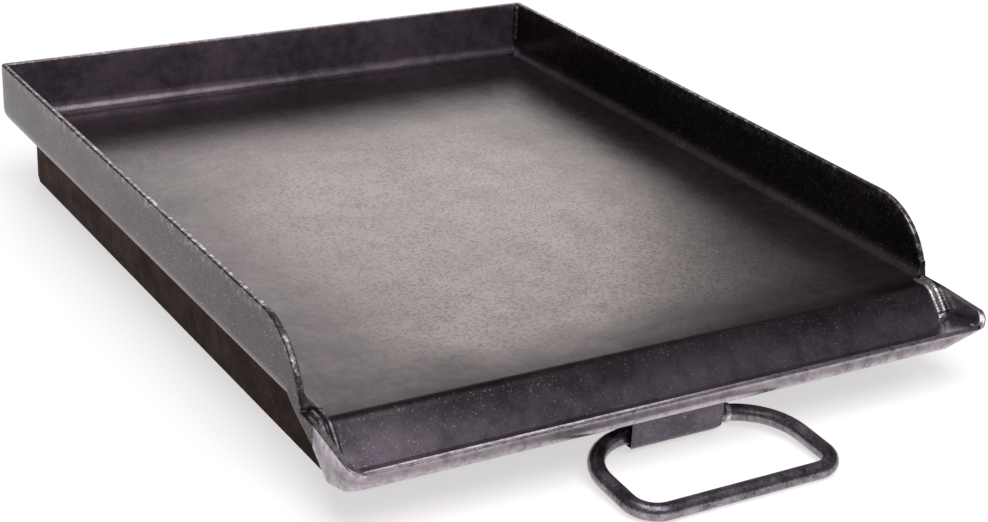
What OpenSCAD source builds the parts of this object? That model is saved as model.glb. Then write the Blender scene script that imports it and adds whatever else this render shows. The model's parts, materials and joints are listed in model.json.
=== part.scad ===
// Flat top griddle: a folded steel cooking plate with a front grease trough, standing on two rails,
// with a loose bail handle under the trough. Millimetres. X is to the right, -Y is the front and Z is
// up. The origin is on the table, under the middle of the whole griddle with its handle at rest.

/* [Cooking plate] */
// Width between the side walls
inside_w = 355.6; // [300:0.1:460]
// Length from the back of the plate to the front fold
plate_l = 431.8; // [340:0.1:520]
// Height of the walls, from the underside of the plate to the rim
wall_h = 38.1; // [32:0.1:60]
// Thickness of the sheet
sheet_t = 3.5; // [2.5:0.1:5]
// Inside radius of the folds along the back and the sides
fold_r = 7.5; // [4:0.1:10]
// Outside radius of the two upright rear corners
corner_r = 3; // [1:0.1:3.4]
// Radius of the rounded front end of each side wall
fin_r = 42; // [36:0.5:46]
// Distance from the front fold back to where the side walls start to curve down
fin_setback = 49.5; // [45:0.5:60]

/* [Apron and trough] */
// Slope of the apron, below the horizontal
apron_angle = 47; // [40:1:55]
// Radius of the front fold, on the upper side
apron_fold_r = 9; // [6:0.5:12]
// Drop from the cooking floor to the bottom of the trough
trough_drop = 17.6; // [14:0.1:20]
// Run from the bottom of the trough to the inside of the lip
trough_run = 19; // [17:0.5:26]
// Rise of the trough floor towards the lip, in degrees
trough_rise_angle = 14; // [10:1:18]
// Height of the lip's top above the bottom of the trough
lip_h = 10.2; // [9:0.1:14]
// Inside radius of the fold at the foot of the lip
lip_fold_r = 1.5; // [1:0.1:3]
// Inside radius where each trough end turns into the lip
end_turn_r = 4; // [3:0.5:6]
// Gap at each side of the apron, filled by weld
apron_gap = 6.3; // [4:0.1:8]
// Tilt of the trough floor beyond the drain, in degrees
kick_angle = 15; // [10:1:18]
// Distance from the middle to where the trough floor starts to tilt up
kick_x = 153.5; // [140:0.5:156]
// Height of the right trough end above the bottom of the trough, at the corner
tall_end_h = 16; // [14:0.5:17]

/* [Drain spout] */
// Outside diameter of the spout
spout_d = 8.5; // [8:0.1:9]
// Bore of the spout
spout_bore = 5.6; // [5:0.1:6.5]
// Distance of the spout from the middle
spout_x = 148.5; // [130:0.5:149]
// Distance of the spout behind the inside of the lip
spout_back = 14.4; // [8:0.1:14.5]
// Height of the spout's lower end above the table
spout_z = 19.2; // [16:0.1:19.5]

/* [Rails and cross bars] */
// Height of the rails
rail_h = 38.1; // [30:0.1:60]
// Thickness of the rails and cross bars
rail_t = 4.8; // [3:0.1:8]
// Distance of each rail in from the outside of the side wall
rail_inset = 18.3; // [12:0.1:40]
// Distance of the rails in from the back of the plate
rail_rear_gap = 5; // [2:0.5:30]
// Distance of the rails back from the front fold
rail_front_gap = 12; // [10:0.5:40]
// Height of the cross bars
bar_h = 19; // [12:0.5:24]
// Chamfer on the lower ends of the rails
rail_chamfer = 3.5; // [1:0.5:8]

/* [Handle] */
// Diameter of the handle rod
rod_d = 8.6; // [8:0.1:10]
// Width of the handle, between the middles of its two arms
handle_w = 111.4; // [100:0.2:140]
// Length of the handle, from its pivot to the middle of the front bar
handle_l = 62; // [55:1:80]
// Bend radius beside the pivot, at the middle of the rod
pivot_bend_r = 31; // [20:1:32]
// Bend radius at the front corners, at the middle of the rod
grip_bend_r = 13; // [10:1:20]
// Height of the pivot above the table
pivot_z = 8; // [7.8:0.1:9]
// Distance of the pivot behind the inside of the lip
pivot_back = 18.5; // [17:0.1:20]
// Width of the bracket
bracket_w = 53; // [40:1:54]
// Thickness of the bracket
bracket_t = 2.6; // [2:0.1:3]
// Height of the bracket's front flange above the pivot
flange_h = 10.5; // [8:0.5:11]
// Chamfer on the lower corners of the front flange
flange_chamfer = 4; // [1:0.5:6]
// Gap between the rod and the bracket
rod_gap = 0.1; // [0.05:0.01:0.1]

/* [Hidden] */
$fn = 96;

eps = 0.01;
// Apron: the fold, then a straight slope to the bottom of the trough
apron_in_r = apron_fold_r - sheet_t;
fold_run = apron_fold_r * sin(apron_angle);
fold_drop = apron_fold_r * (1 - cos(apron_angle));
apron_run = (trough_drop - fold_drop) / tan(apron_angle);
apron_len = (trough_drop - fold_drop) / sin(apron_angle);
// Reach of the handle in front of the front fold
rod_r = rod_d / 2;
rest_tilt = asin((pivot_z - rod_r) / handle_l);
front_reach = fold_run + apron_run + trough_run - pivot_back + handle_l * cos(rest_tilt) + rod_r;
// Levels
floor_z = rail_h;
plate_top_z = floor_z + sheet_t;
rim_z = floor_z + wall_h;
half_w = inside_w / 2 + sheet_t;
half_in = inside_w / 2;
rear_y = (plate_l + front_reach) / 2;
fold_y = rear_y - plate_l;
outer_fold_r = fold_r + sheet_t;
apron_half_w = half_in - apron_gap;
// Side walls: the centre of the rounded front end, and the place where it meets the floor
fin_y = fold_y + fin_setback;
fin_z = rim_z - fin_r;
fin_foot_y = fin_y - sqrt(fin_r * fin_r - (plate_top_z - fin_z) * (plate_top_z - fin_z));
// Trough: from its lowest line, up a gentle rise and into the lip
keel_y = fold_y - fold_run - apron_run;
keel_z = plate_top_z - trough_drop;
lip_in_y = keel_y - trough_run;
lip_y = lip_in_y - sheet_t;
lip_top_z = keel_z + lip_h;
foot_r = lip_fold_r + sheet_t;
foot_y = lip_in_y + lip_fold_r;
foot_z = keel_z + (keel_y - foot_y + lip_fold_r * sin(trough_rise_angle)) * tan(trough_rise_angle)
    + lip_fold_r * cos(trough_rise_angle);
keel_under_y = keel_y + sheet_t * sin((apron_angle - trough_rise_angle) / 2)
    / cos((apron_angle + trough_rise_angle) / 2);
keel_under_z = keel_z - sheet_t * cos((apron_angle - trough_rise_angle) / 2)
    / cos((apron_angle + trough_rise_angle) / 2);
// Spout: its top is level with the trough floor beside it
spout_y = lip_in_y + spout_back;
spout_top_z = keel_z + (keel_y - spout_y - spout_d / 2) * tan(trough_rise_angle);
// Trough ends: a plate, a quarter turn and the lip
seam_y = fold_y - 5.2;
seam_gap = 0.4;
end_turn_out_r = end_turn_r + sheet_t;
turn_y = lip_in_y + end_turn_r;
turn_x = half_in - end_turn_r;
tall_z = keel_z + tall_end_h;
left_end_rise = 3.1;
// Rails
rail_out_x = half_w - rail_inset;
rail_rear_y = rear_y - rail_rear_gap;
rail_front_y = fold_y + rail_front_gap;
rail_l = rail_rear_y - rail_front_y;
rail_mid_y = (rail_rear_y + rail_front_y) / 2;
bar_ys = [rail_front_y + 1.5 * rail_t, rail_mid_y, rail_rear_y - 1.5 * rail_t];
bar_half = rail_out_x - rail_t;
// Handle
pivot_y = lip_in_y + pivot_back;
hook_r = rod_r + rod_gap;
arm_x = handle_w / 2;
straight_half = arm_x - pivot_bend_r;
leg_in_y = pivot_y + hook_r;
leg_out_y = leg_in_y + bracket_t;
flange_y = pivot_y - hook_r - bracket_t;
steel = "#4b4648";
dark_steel = "#2f2b2e";
bare_weld = "#9a9698";

// The height of the apron's underside at a given distance from front to back
function under_apron_z(y) = keel_under_z + (y - keel_under_y) * tan(apron_angle);
// The height of the trough's underside in front of its lowest line
function under_trough_z(y) = keel_under_z + (keel_under_y - y) * tan(trough_rise_angle);

// Extrude an outline drawn as [y, z] along X, between two stations
module along_x(x0, x1) {
    translate([x0, 0, 0])
        rotate([90, 0, 90])
            linear_extrude(height = x1 - x0)
                children();
}

// Extrude an outline drawn as [x, z] along Y, between two stations
module along_y(y0, y1) {
    translate([0, y1, 0])
        rotate([90, 0, 0])
            linear_extrude(height = y1 - y0)
                children();
}

// A ring sector, from angle a0 to angle a1, of less than a half turn
module sector(r_in, r_out, a0, a1) {
    reach = 2 * r_out;
    mid = (a0 + a1) / 2;
    intersection() {
        difference() {
            circle(r = r_out);
            circle(r = r_in);
        }
        polygon([
            [0, 0],
            [reach * cos(a0), reach * sin(a0)],
            [reach * cos(mid), reach * sin(mid)],
            [reach * cos(a1), reach * sin(a1)]
        ]);
    }
}

// The plate's cross section seen from the front, as a filled outline with rounded lower corners
module tub_outline(half, bottom, top, r) {
    translate([-half, bottom + r])
        square([2 * half, top - bottom - r]);
    translate([r - half, bottom])
        square([2 * (half - r), r + eps]);
    for (side = [-1, 1])
        translate([side * (half - r), bottom + r])
            circle(r = r);
}

// The plate's cross section seen from the side, as a filled outline with a rounded lower rear corner
module back_outline(front, rear, bottom, top, r) {
    translate([front, bottom + r])
        square([rear - front, top - bottom - r]);
    translate([front, bottom])
        square([rear - front - r, r + eps]);
    translate([rear - r, bottom + r])
        circle(r = r);
}

// Plan of the plate with rounded rear corners
module plan_outline(front) {
    translate([-half_w, front])
        square([2 * half_w, rear_y - front - corner_r]);
    translate([corner_r - half_w, front])
        square([2 * (half_w - corner_r), rear_y - front]);
    for (side = [-1, 1])
        translate([side * (half_w - corner_r), rear_y - corner_r])
            circle(r = corner_r);
}

// What is cut away in front of the side walls, to leave their rounded ends
module fin_cut() {
    difference() {
        translate([fold_y - 20, plate_top_z])
            square([fin_y - fold_y + 20, rim_z - plate_top_z + 10]);
        translate([fin_y, fin_z])
            circle(r = fin_r);
    }
}

// The cheek that runs each side wall on to the trough end, seen from the side
module cheek_outline() {
    polygon([
        [fin_foot_y + 14, plate_top_z + 8],
        [fin_foot_y + 14, floor_z + 6],
        [fin_foot_y + 4, floor_z],
        [seam_y + seam_gap, under_apron_z(seam_y) - 5],
        [seam_y + seam_gap, plate_top_z],
        [fin_foot_y, plate_top_z]
    ]);
}

// Floor in front of the walls, front fold and apron, seen from the side
module apron_outline() {
    translate([fold_y, floor_z])
        square([fin_y - fold_y, sheet_t]);
    translate([fold_y, plate_top_z - apron_fold_r])
        sector(apron_in_r, apron_fold_r, 90, 90 + apron_angle);
    translate([fold_y - fold_run, plate_top_z - fold_drop])
        rotate(180 + apron_angle)
            square([apron_len, sheet_t]);
    polygon([
        [keel_y, keel_z],
        [keel_under_y, keel_under_z],
        [keel_y + sheet_t * sin(apron_angle), keel_z - sheet_t * cos(apron_angle)]
    ]);
}

module cooking_plate() {
    color(steel) {
        difference() {
            intersection() {
                along_y(fin_foot_y + eps, rear_y)
                    tub_outline(half_w, floor_z, rim_z, outer_fold_r);
                along_x(-half_w, half_w)
                    back_outline(fin_foot_y, rear_y, floor_z, rim_z, outer_fold_r);
                translate([0, 0, floor_z])
                    linear_extrude(height = wall_h)
                        plan_outline(fin_foot_y);
            }
            intersection() {
                along_y(fold_y - 20, rear_y)
                    tub_outline(half_in, plate_top_z, rim_z + 10, fold_r);
                along_x(-half_w, half_w)
                    back_outline(fold_y - 20, rear_y - sheet_t, plate_top_z, rim_z + 10, fold_r);
            }
            along_x(-half_w - 1, half_w + 1)
                fin_cut();
        }
        for (side = [-1, 1])
            along_x(side * (half_in + sheet_t / 2) - sheet_t / 2, side * (half_in + sheet_t / 2) + sheet_t / 2)
                intersection() {
                    cheek_outline();
                    difference() {
                        translate([fold_y - 20, 0])
                            square([200, rim_z]);
                        fin_cut();
                    }
                }
        along_x(-apron_half_w, apron_half_w)
            apron_outline();
    }
}

// A bead down the inside of an upright rear corner, without what would lie in the walls
module rear_corner_bead(side) {
    bead_r = 2.8;
    inset = 0.4;
    corner_y = rear_y - sheet_t;
    from_z = plate_top_z + fold_r + 1;
    difference() {
        translate([side * (half_in - inset), corner_y - inset, from_z])
            cylinder(r = bead_r, h = rim_z - from_z - 1);
        translate([side * (half_in + 10), rear_y, rim_z - wall_h / 2])
            cube([20, 40, 2 * wall_h], center = true);
        translate([side * half_in, corner_y + 10, rim_z - wall_h / 2])
            cube([40, 20, 2 * wall_h], center = true);
    }
}

module rear_corner_weld_left() {
    color(bare_weld)
        rear_corner_bead(-1);
}

module rear_corner_weld_right() {
    color(bare_weld)
        rear_corner_bead(1);
}

// Trough floor, foot and lip, seen from the side, with the lip as tall as asked
module trough_outline(top) {
    rise_top_y = foot_y - lip_fold_r * sin(trough_rise_angle);
    rise_top_z = foot_z - lip_fold_r * cos(trough_rise_angle);
    under_y = foot_y - foot_r * sin(trough_rise_angle);
    under_z = foot_z - foot_r * cos(trough_rise_angle);
    polygon([
        [keel_y, keel_z],
        [rise_top_y, rise_top_z],
        [under_y, under_z],
        [keel_under_y, keel_under_z]
    ]);
    translate([foot_y, foot_z])
        sector(lip_fold_r, foot_r, 180, 270 - trough_rise_angle);
    translate([lip_y, foot_z])
        square([sheet_t, top - foot_z]);
}

// The space in front of the apron's upper face, seen from the side
module before_apron_outline() {
    reach = 60;
    polygon([
        [keel_y - reach * cos(apron_angle), keel_z - reach * sin(apron_angle)],
        [keel_y + reach * cos(apron_angle), keel_z + reach * sin(apron_angle)],
        [keel_y - reach, keel_z + reach]
    ]);
}

// The trough floor carried on past its lowest line, to meet the apron where the floor tilts up
module kick_back_outline() {
    back = 9;
    drop = back * tan(trough_rise_angle);
    polygon([
        [keel_y + back, keel_z - drop],
        [keel_y - eps, keel_z],
        [keel_under_y - eps, keel_under_z],
        [keel_under_y + back, keel_under_z - drop]
    ]);
}

module grease_trough() {
    color(dark_steel)
        difference() {
            union() {
                along_x(-turn_x, kick_x)
                    trough_outline(lip_top_z);
                along_x(-half_in, -turn_x)
                    intersection() {
                        trough_outline(lip_top_z);
                        translate([turn_y, 0])
                            square([60, rim_z]);
                    }
                intersection() {
                    translate([kick_x, 0, keel_under_z])
                        rotate([0, -kick_angle, 0])
                            translate([-kick_x, 0, -keel_under_z])
                                along_x(kick_x - 4, half_w + 10) {
                                    trough_outline(lip_top_z);
                                    kick_back_outline();
                                }
                    translate([kick_x, lip_y - 1, 0])
                        cube([half_in - kick_x, fold_y - lip_y, lip_top_z]);
                    along_x(kick_x - 4, half_w)
                        before_apron_outline();
                    union() {
                        translate([0, turn_y, 0])
                            cube([half_in, 60, rim_z]);
                        translate([0, lip_y - 1, 0])
                            cube([turn_x, 60, rim_z]);
                    }
                }
            }
            translate([spout_x, spout_y, spout_z])
                cylinder(d = spout_d, h = 40);
        }
}

// Plan of a trough end and its quarter turn into the lip, for the right side
module end_plan() {
    translate([half_in, turn_y])
        square([sheet_t, seam_y - turn_y]);
    translate([turn_x, turn_y])
        sector(end_turn_r, end_turn_out_r, -90, 0);
}

// What is cut off above a trough end's quarter turn, so that its top slopes from the end to the lip
module turn_cut(side, rise) {
    slope = atan(sqrt(2) * rise / (2 * end_turn_out_r));
    translate([side * turn_x, lip_y, lip_top_z + 0.05])
        rotate(a = slope, v = [1, -side, 0])
            translate([side > 0 ? -5 : -25, -10, 0])
                cube([30, 12 + end_turn_out_r, 20]);
}

module trough_end_left() {
    color(dark_steel)
        difference() {
            intersection() {
                mirror([1, 0, 0])
                    linear_extrude(height = rim_z)
                        end_plan();
                along_x(-half_w - 1, 0)
                    polygon([
                        [seam_y, plate_top_z],
                        [seam_y, under_apron_z(seam_y) - 5],
                        [seam_y - 6, under_apron_z(seam_y) - 8],
                        [keel_under_y, keel_under_z],
                        [lip_y - 1, under_trough_z(lip_y - 1)],
                        [lip_y - 1, lip_top_z + left_end_rise],
                        [turn_y, lip_top_z + left_end_rise]
                    ]);
            }
            turn_cut(-1, left_end_rise);
        }
}

module trough_end_right() {
    kick_rise = (half_in - kick_x) * tan(kick_angle);
    color(dark_steel)
        difference() {
            intersection() {
                linear_extrude(height = rim_z)
                    end_plan();
                along_x(0, half_w + 1)
                    polygon([
                        [seam_y, plate_top_z],
                        [seam_y, under_apron_z(seam_y)],
                        [keel_under_y, keel_under_z + kick_rise],
                        [lip_y - 1, under_trough_z(lip_y - 1) + kick_rise],
                        [lip_y - 1, tall_z],
                        [turn_y, tall_z]
                    ]);
            }
            turn_cut(1, tall_z - lip_top_z);
        }
}

// The filler that closes the gap at one side of the apron
module apron_edge_bead(inner, outer) {
    drop = 0.6;
    along_x(inner, outer)
        polygon([
            [fin_foot_y, plate_top_z - drop],
            [fold_y, plate_top_z - drop],
            [fold_y - fold_run * 0.6, plate_top_z - drop - fold_drop * 0.4],
            [fold_y - fold_run, plate_top_z - drop - fold_drop],
            [keel_y + 0.8, keel_z],
            [keel_y + 0.8 + sheet_t * sin(apron_angle), keel_z - sheet_t * cos(apron_angle) + 0.6],
            [fold_y, floor_z + 0.4],
            [fin_foot_y, floor_z + 0.4]
        ]);
}

module apron_edge_weld_left() {
    color(bare_weld) apron_edge_bead(-half_in, -apron_half_w);
}

module apron_edge_weld_right() {
    color(bare_weld) apron_edge_bead(apron_half_w, half_in);
}

// A long bead under the lowest line of the trough, seen from the side
module seam_outline() {
    spread = 2.6;
    swell = 1.3;
    polygon([
        [keel_under_y + spread, under_apron_z(keel_under_y + spread)],
        [keel_under_y, keel_under_z],
        [keel_under_y - spread, under_trough_z(keel_under_y - spread)],
        [keel_under_y - spread / 2, keel_under_z - swell],
        [keel_under_y + spread / 3, keel_under_z - swell]
    ]);
}

module trough_seam_weld() {
    seam_end = 6;
    bead_room = 2.5;
    color(bare_weld)
        for (span = [[seam_end - apron_half_w, -bracket_w / 2 - 1], [bracket_w / 2 + 1, spout_x - spout_d / 2 - bead_room]])
            along_x(span[0], span[1])
                seam_outline();
}

module drain_spout() {
    color(steel)
        translate([spout_x, spout_y, spout_z])
            difference() {
                cylinder(d = spout_d, h = spout_top_z - spout_z);
                translate([0, 0, -1])
                    cylinder(d = spout_bore, h = 40);
            }
}

module drain_spout_weld() {
    bead = 1.4;
    color(bare_weld)
        translate([spout_x, spout_y, under_trough_z(spout_y)])
            difference() {
                rotate([-trough_rise_angle, 0, 0])
                    rotate_extrude()
                        translate([spout_d / 2 + 0.2, 0])
                            circle(r = bead);
                translate([0, 0, -5])
                    cylinder(d = spout_d, h = 10);
                rotate([-trough_rise_angle, 0, 0])
                    translate([-10, -10, 0])
                        cube([20, 20, 5]);
            }
}

// A flat bar on edge, with its lower ends chamfered
module side_rail(side) {
    x0 = side > 0 ? rail_out_x - rail_t : -rail_out_x;
    along_x(x0, x0 + rail_t)
        polygon([
            [rail_front_y + rail_chamfer, 0],
            [rail_rear_y - rail_chamfer, 0],
            [rail_rear_y, rail_chamfer],
            [rail_rear_y, rail_h],
            [rail_front_y, rail_h],
            [rail_front_y, rail_chamfer]
        ]);
}

module side_rail_left() {
    color(dark_steel) side_rail(-1);
}

module side_rail_right() {
    color(dark_steel) side_rail(1);
}

// A cross bar between the rails, against the underside of the plate
module cross_bar(y) {
    translate([-bar_half, y - rail_t / 2, rail_h - bar_h])
        cube([2 * bar_half, rail_t, bar_h]);
}

module cross_bar_front() {
    color(dark_steel) cross_bar(bar_ys[0]);
}

module cross_bar_middle() {
    color(dark_steel) cross_bar(bar_ys[1]);
}

module cross_bar_rear() {
    color(dark_steel) cross_bar(bar_ys[2]);
}

// A short fillet bead along Y, in the corner between a plate above and a bar's face
module stitch_y(x, side, y, z, l, leg) {
    along_y(y - l / 2, y + l / 2)
        polygon([
            [x, z],
            [x + side * leg, z],
            [x + side * leg * 0.45, z - leg * 0.45],
            [x, z - leg]
        ]);
}

module rail_stitches(side) {
    stitch_l = 26;
    for (f = [-0.42, -0.14, 0.14, 0.42])
        for (face = [0, 1])
            stitch_y(side * (face == 0 ? rail_out_x - rail_t : rail_out_x), face == 0 ? -side : side,
                rail_mid_y + f * rail_l, rail_h, stitch_l, 4);
}

module rail_welds_left() {
    color(bare_weld) rail_stitches(-1);
}

module rail_welds_right() {
    color(bare_weld) rail_stitches(1);
}

// Upright fillets where each cross bar meets a rail, on both of its faces
module cross_bar_welds() {
    leg = 3.5;
    color(bare_weld)
        for (y = bar_ys)
            for (side = [-1, 1])
                for (face = [-1, 1])
                    translate([side * bar_half, y + face * rail_t / 2, rail_h - bar_h + 2])
                        linear_extrude(height = bar_h - 7)
                            polygon([
                                [0, 0],
                                [-side * leg, 0],
                                [-side * leg * 0.45, face * leg * 0.45],
                                [0, face * leg]
                            ]);
}

// The hook that holds the handle, seen from the side: flange, half turn and rear leg
module hook_outline() {
    translate([pivot_y, pivot_z])
        sector(hook_r, hook_r + bracket_t, 180, 270);
    translate([pivot_y, pivot_z])
        sector(hook_r, hook_r + bracket_t, 270, 360);
    translate([flange_y, pivot_z - eps])
        square([bracket_t, flange_h + eps]);
    polygon([
        [leg_in_y, pivot_z - eps],
        [leg_out_y, pivot_z - eps],
        [leg_out_y, under_apron_z(leg_out_y)],
        [leg_in_y, under_apron_z(leg_in_y)]
    ]);
}

module handle_bracket() {
    color(steel)
        difference() {
            along_x(-bracket_w / 2, bracket_w / 2)
                hook_outline();
            for (side = [-1, 1])
                translate([side * bracket_w / 2, flange_y - 1, pivot_z - hook_r - bracket_t])
                    rotate([0, 45, 0])
                        cube([flange_chamfer * sqrt(2), 2 * bracket_t, flange_chamfer * sqrt(2)], center = true);
        }
}

module bracket_weld() {
    leg = 4;
    color(bare_weld)
        along_x(-bracket_w / 2 + 2, bracket_w / 2 - 2)
            polygon([
                [leg_out_y, under_apron_z(leg_out_y)],
                [leg_out_y + leg, under_apron_z(leg_out_y + leg)],
                [leg_out_y + leg * 0.6, under_apron_z(leg_out_y + leg) - leg * 0.75],
                [leg_out_y, under_apron_z(leg_out_y) - leg * 0.5]
            ]);
}

// A straight length of rod between two points of the handle's own plane, along X or along Y
module rod_x(x0, x1, y) {
    translate([x0, y, 0])
        rotate([0, 90, 0])
            cylinder(r = rod_r, h = x1 - x0);
}

module rod_y(x, y0, y1) {
    translate([x, y0, 0])
        rotate([-90, 0, 0])
            cylinder(r = rod_r, h = y1 - y0);
}

// A quarter bend of rod about a centre
module rod_bend(x, y, r, start) {
    translate([x, y, 0])
        rotate([0, 0, start])
            rotate_extrude(angle = 90)
                translate([r, 0])
                    circle(r = rod_r);
}

// Place a shape drawn in the handle's plane, with its pivot on the X axis, where the handle rests
module at_rest() {
    translate([0, pivot_y, pivot_z])
        rotate([rest_tilt, 0, 0])
            children();
}

module handle_rod() {
    color(dark_steel)
        at_rest() {
            rod_x(-straight_half, straight_half, 0);
            rod_x(-arm_x + grip_bend_r, arm_x - grip_bend_r, -handle_l);
            for (side = [-1, 1]) {
                rod_y(side * arm_x, grip_bend_r - handle_l, -pivot_bend_r);
                rod_bend(side * straight_half, -pivot_bend_r, pivot_bend_r, side > 0 ? 0 : 90);
                rod_bend(side * (arm_x - grip_bend_r), grip_bend_r - handle_l, grip_bend_r, side > 0 ? -90 : 180);
            }
        }
}

// The swollen ring where the two ends of the bar are joined, just beside the bracket
module handle_butt_weld() {
    weld_x = bracket_w / 2 + 6;
    weld_angle = 90 - asin((weld_x - straight_half) / pivot_bend_r);
    ring_r = 2;
    ring_inset = 1.2;
    color(bare_weld)
        at_rest()
            difference() {
                translate([straight_half, -pivot_bend_r, 0])
                    rotate([0, 0, weld_angle])
                        translate([pivot_bend_r, 0, 0])
                            rotate([90, 0, 0])
                                rotate_extrude()
                                    translate([rod_r - ring_inset, 0])
                                        circle(r = ring_r);
                rod_bend(straight_half, -pivot_bend_r, pivot_bend_r, 0);
            }
}

cooking_plate();
rear_corner_weld_left();
rear_corner_weld_right();
grease_trough();
trough_end_left();
trough_end_right();
apron_edge_weld_left();
apron_edge_weld_right();
trough_seam_weld();
drain_spout();
drain_spout_weld();
side_rail_left();
side_rail_right();
cross_bar_front();
cross_bar_middle();
cross_bar_rear();
rail_welds_left();
rail_welds_right();
cross_bar_welds();
handle_bracket();
bracket_weld();
handle_rod();
handle_butt_weld();
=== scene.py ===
"""Looks of the flat top griddle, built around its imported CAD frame, in metres."""

import json
import logging
import math
import random
from dataclasses import dataclass, field
from enum import Enum
from functools import cached_property

import bmesh
import bpy
from mathutils import Matrix, Vector, noise

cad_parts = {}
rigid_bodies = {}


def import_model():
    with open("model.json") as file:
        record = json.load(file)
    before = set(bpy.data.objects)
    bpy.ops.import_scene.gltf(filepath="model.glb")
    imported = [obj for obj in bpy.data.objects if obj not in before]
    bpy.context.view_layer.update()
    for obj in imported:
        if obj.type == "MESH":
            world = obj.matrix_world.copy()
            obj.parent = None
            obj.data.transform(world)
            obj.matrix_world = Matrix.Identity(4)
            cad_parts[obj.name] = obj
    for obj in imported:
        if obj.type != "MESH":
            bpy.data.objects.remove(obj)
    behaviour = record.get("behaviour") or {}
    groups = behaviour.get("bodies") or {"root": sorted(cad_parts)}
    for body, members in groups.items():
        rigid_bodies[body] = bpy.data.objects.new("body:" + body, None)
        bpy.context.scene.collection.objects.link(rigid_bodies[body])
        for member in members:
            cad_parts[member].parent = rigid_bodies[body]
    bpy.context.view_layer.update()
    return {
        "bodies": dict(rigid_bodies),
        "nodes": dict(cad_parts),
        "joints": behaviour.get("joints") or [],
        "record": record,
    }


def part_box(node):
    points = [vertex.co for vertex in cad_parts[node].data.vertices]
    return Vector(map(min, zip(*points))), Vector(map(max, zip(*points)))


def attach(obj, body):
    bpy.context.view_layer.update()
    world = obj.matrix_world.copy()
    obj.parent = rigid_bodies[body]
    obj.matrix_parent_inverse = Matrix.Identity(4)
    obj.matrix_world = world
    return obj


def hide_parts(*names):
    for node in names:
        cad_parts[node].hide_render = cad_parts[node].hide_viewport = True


log = logging.getLogger("griddle")

RGB = tuple[float, float, float]
Point2 = tuple[float, float]
Row = list[Vector]
Profile = list[tuple[float, float, float]]
Socket = bpy.types.NodeSocket


class Body(Enum):
    """The bodies that pieces ride on."""

    GRIDDLE = "griddle"
    HANDLE = "handle"


class Side(Enum):
    """Left and right, as the sign of X."""

    LEFT = -1
    RIGHT = 1

    def at(self, x: float, y: float, z: float) -> Vector:
        """Returns a point whose X is measured outwards on this side."""
        return Vector((self.value * x, y, z))


class Slot(Enum):
    """The record's material slots."""

    PLATE = "plate_steel"
    TROUGH = "trough_steel"
    RAIL = "rail_steel"
    BRACKET = "bracket_steel"
    ROD = "rod_steel"
    SPOUT = "spout_steel"
    WELD = "weld_metal"


# ---------------------------------------------------------------- materials


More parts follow.
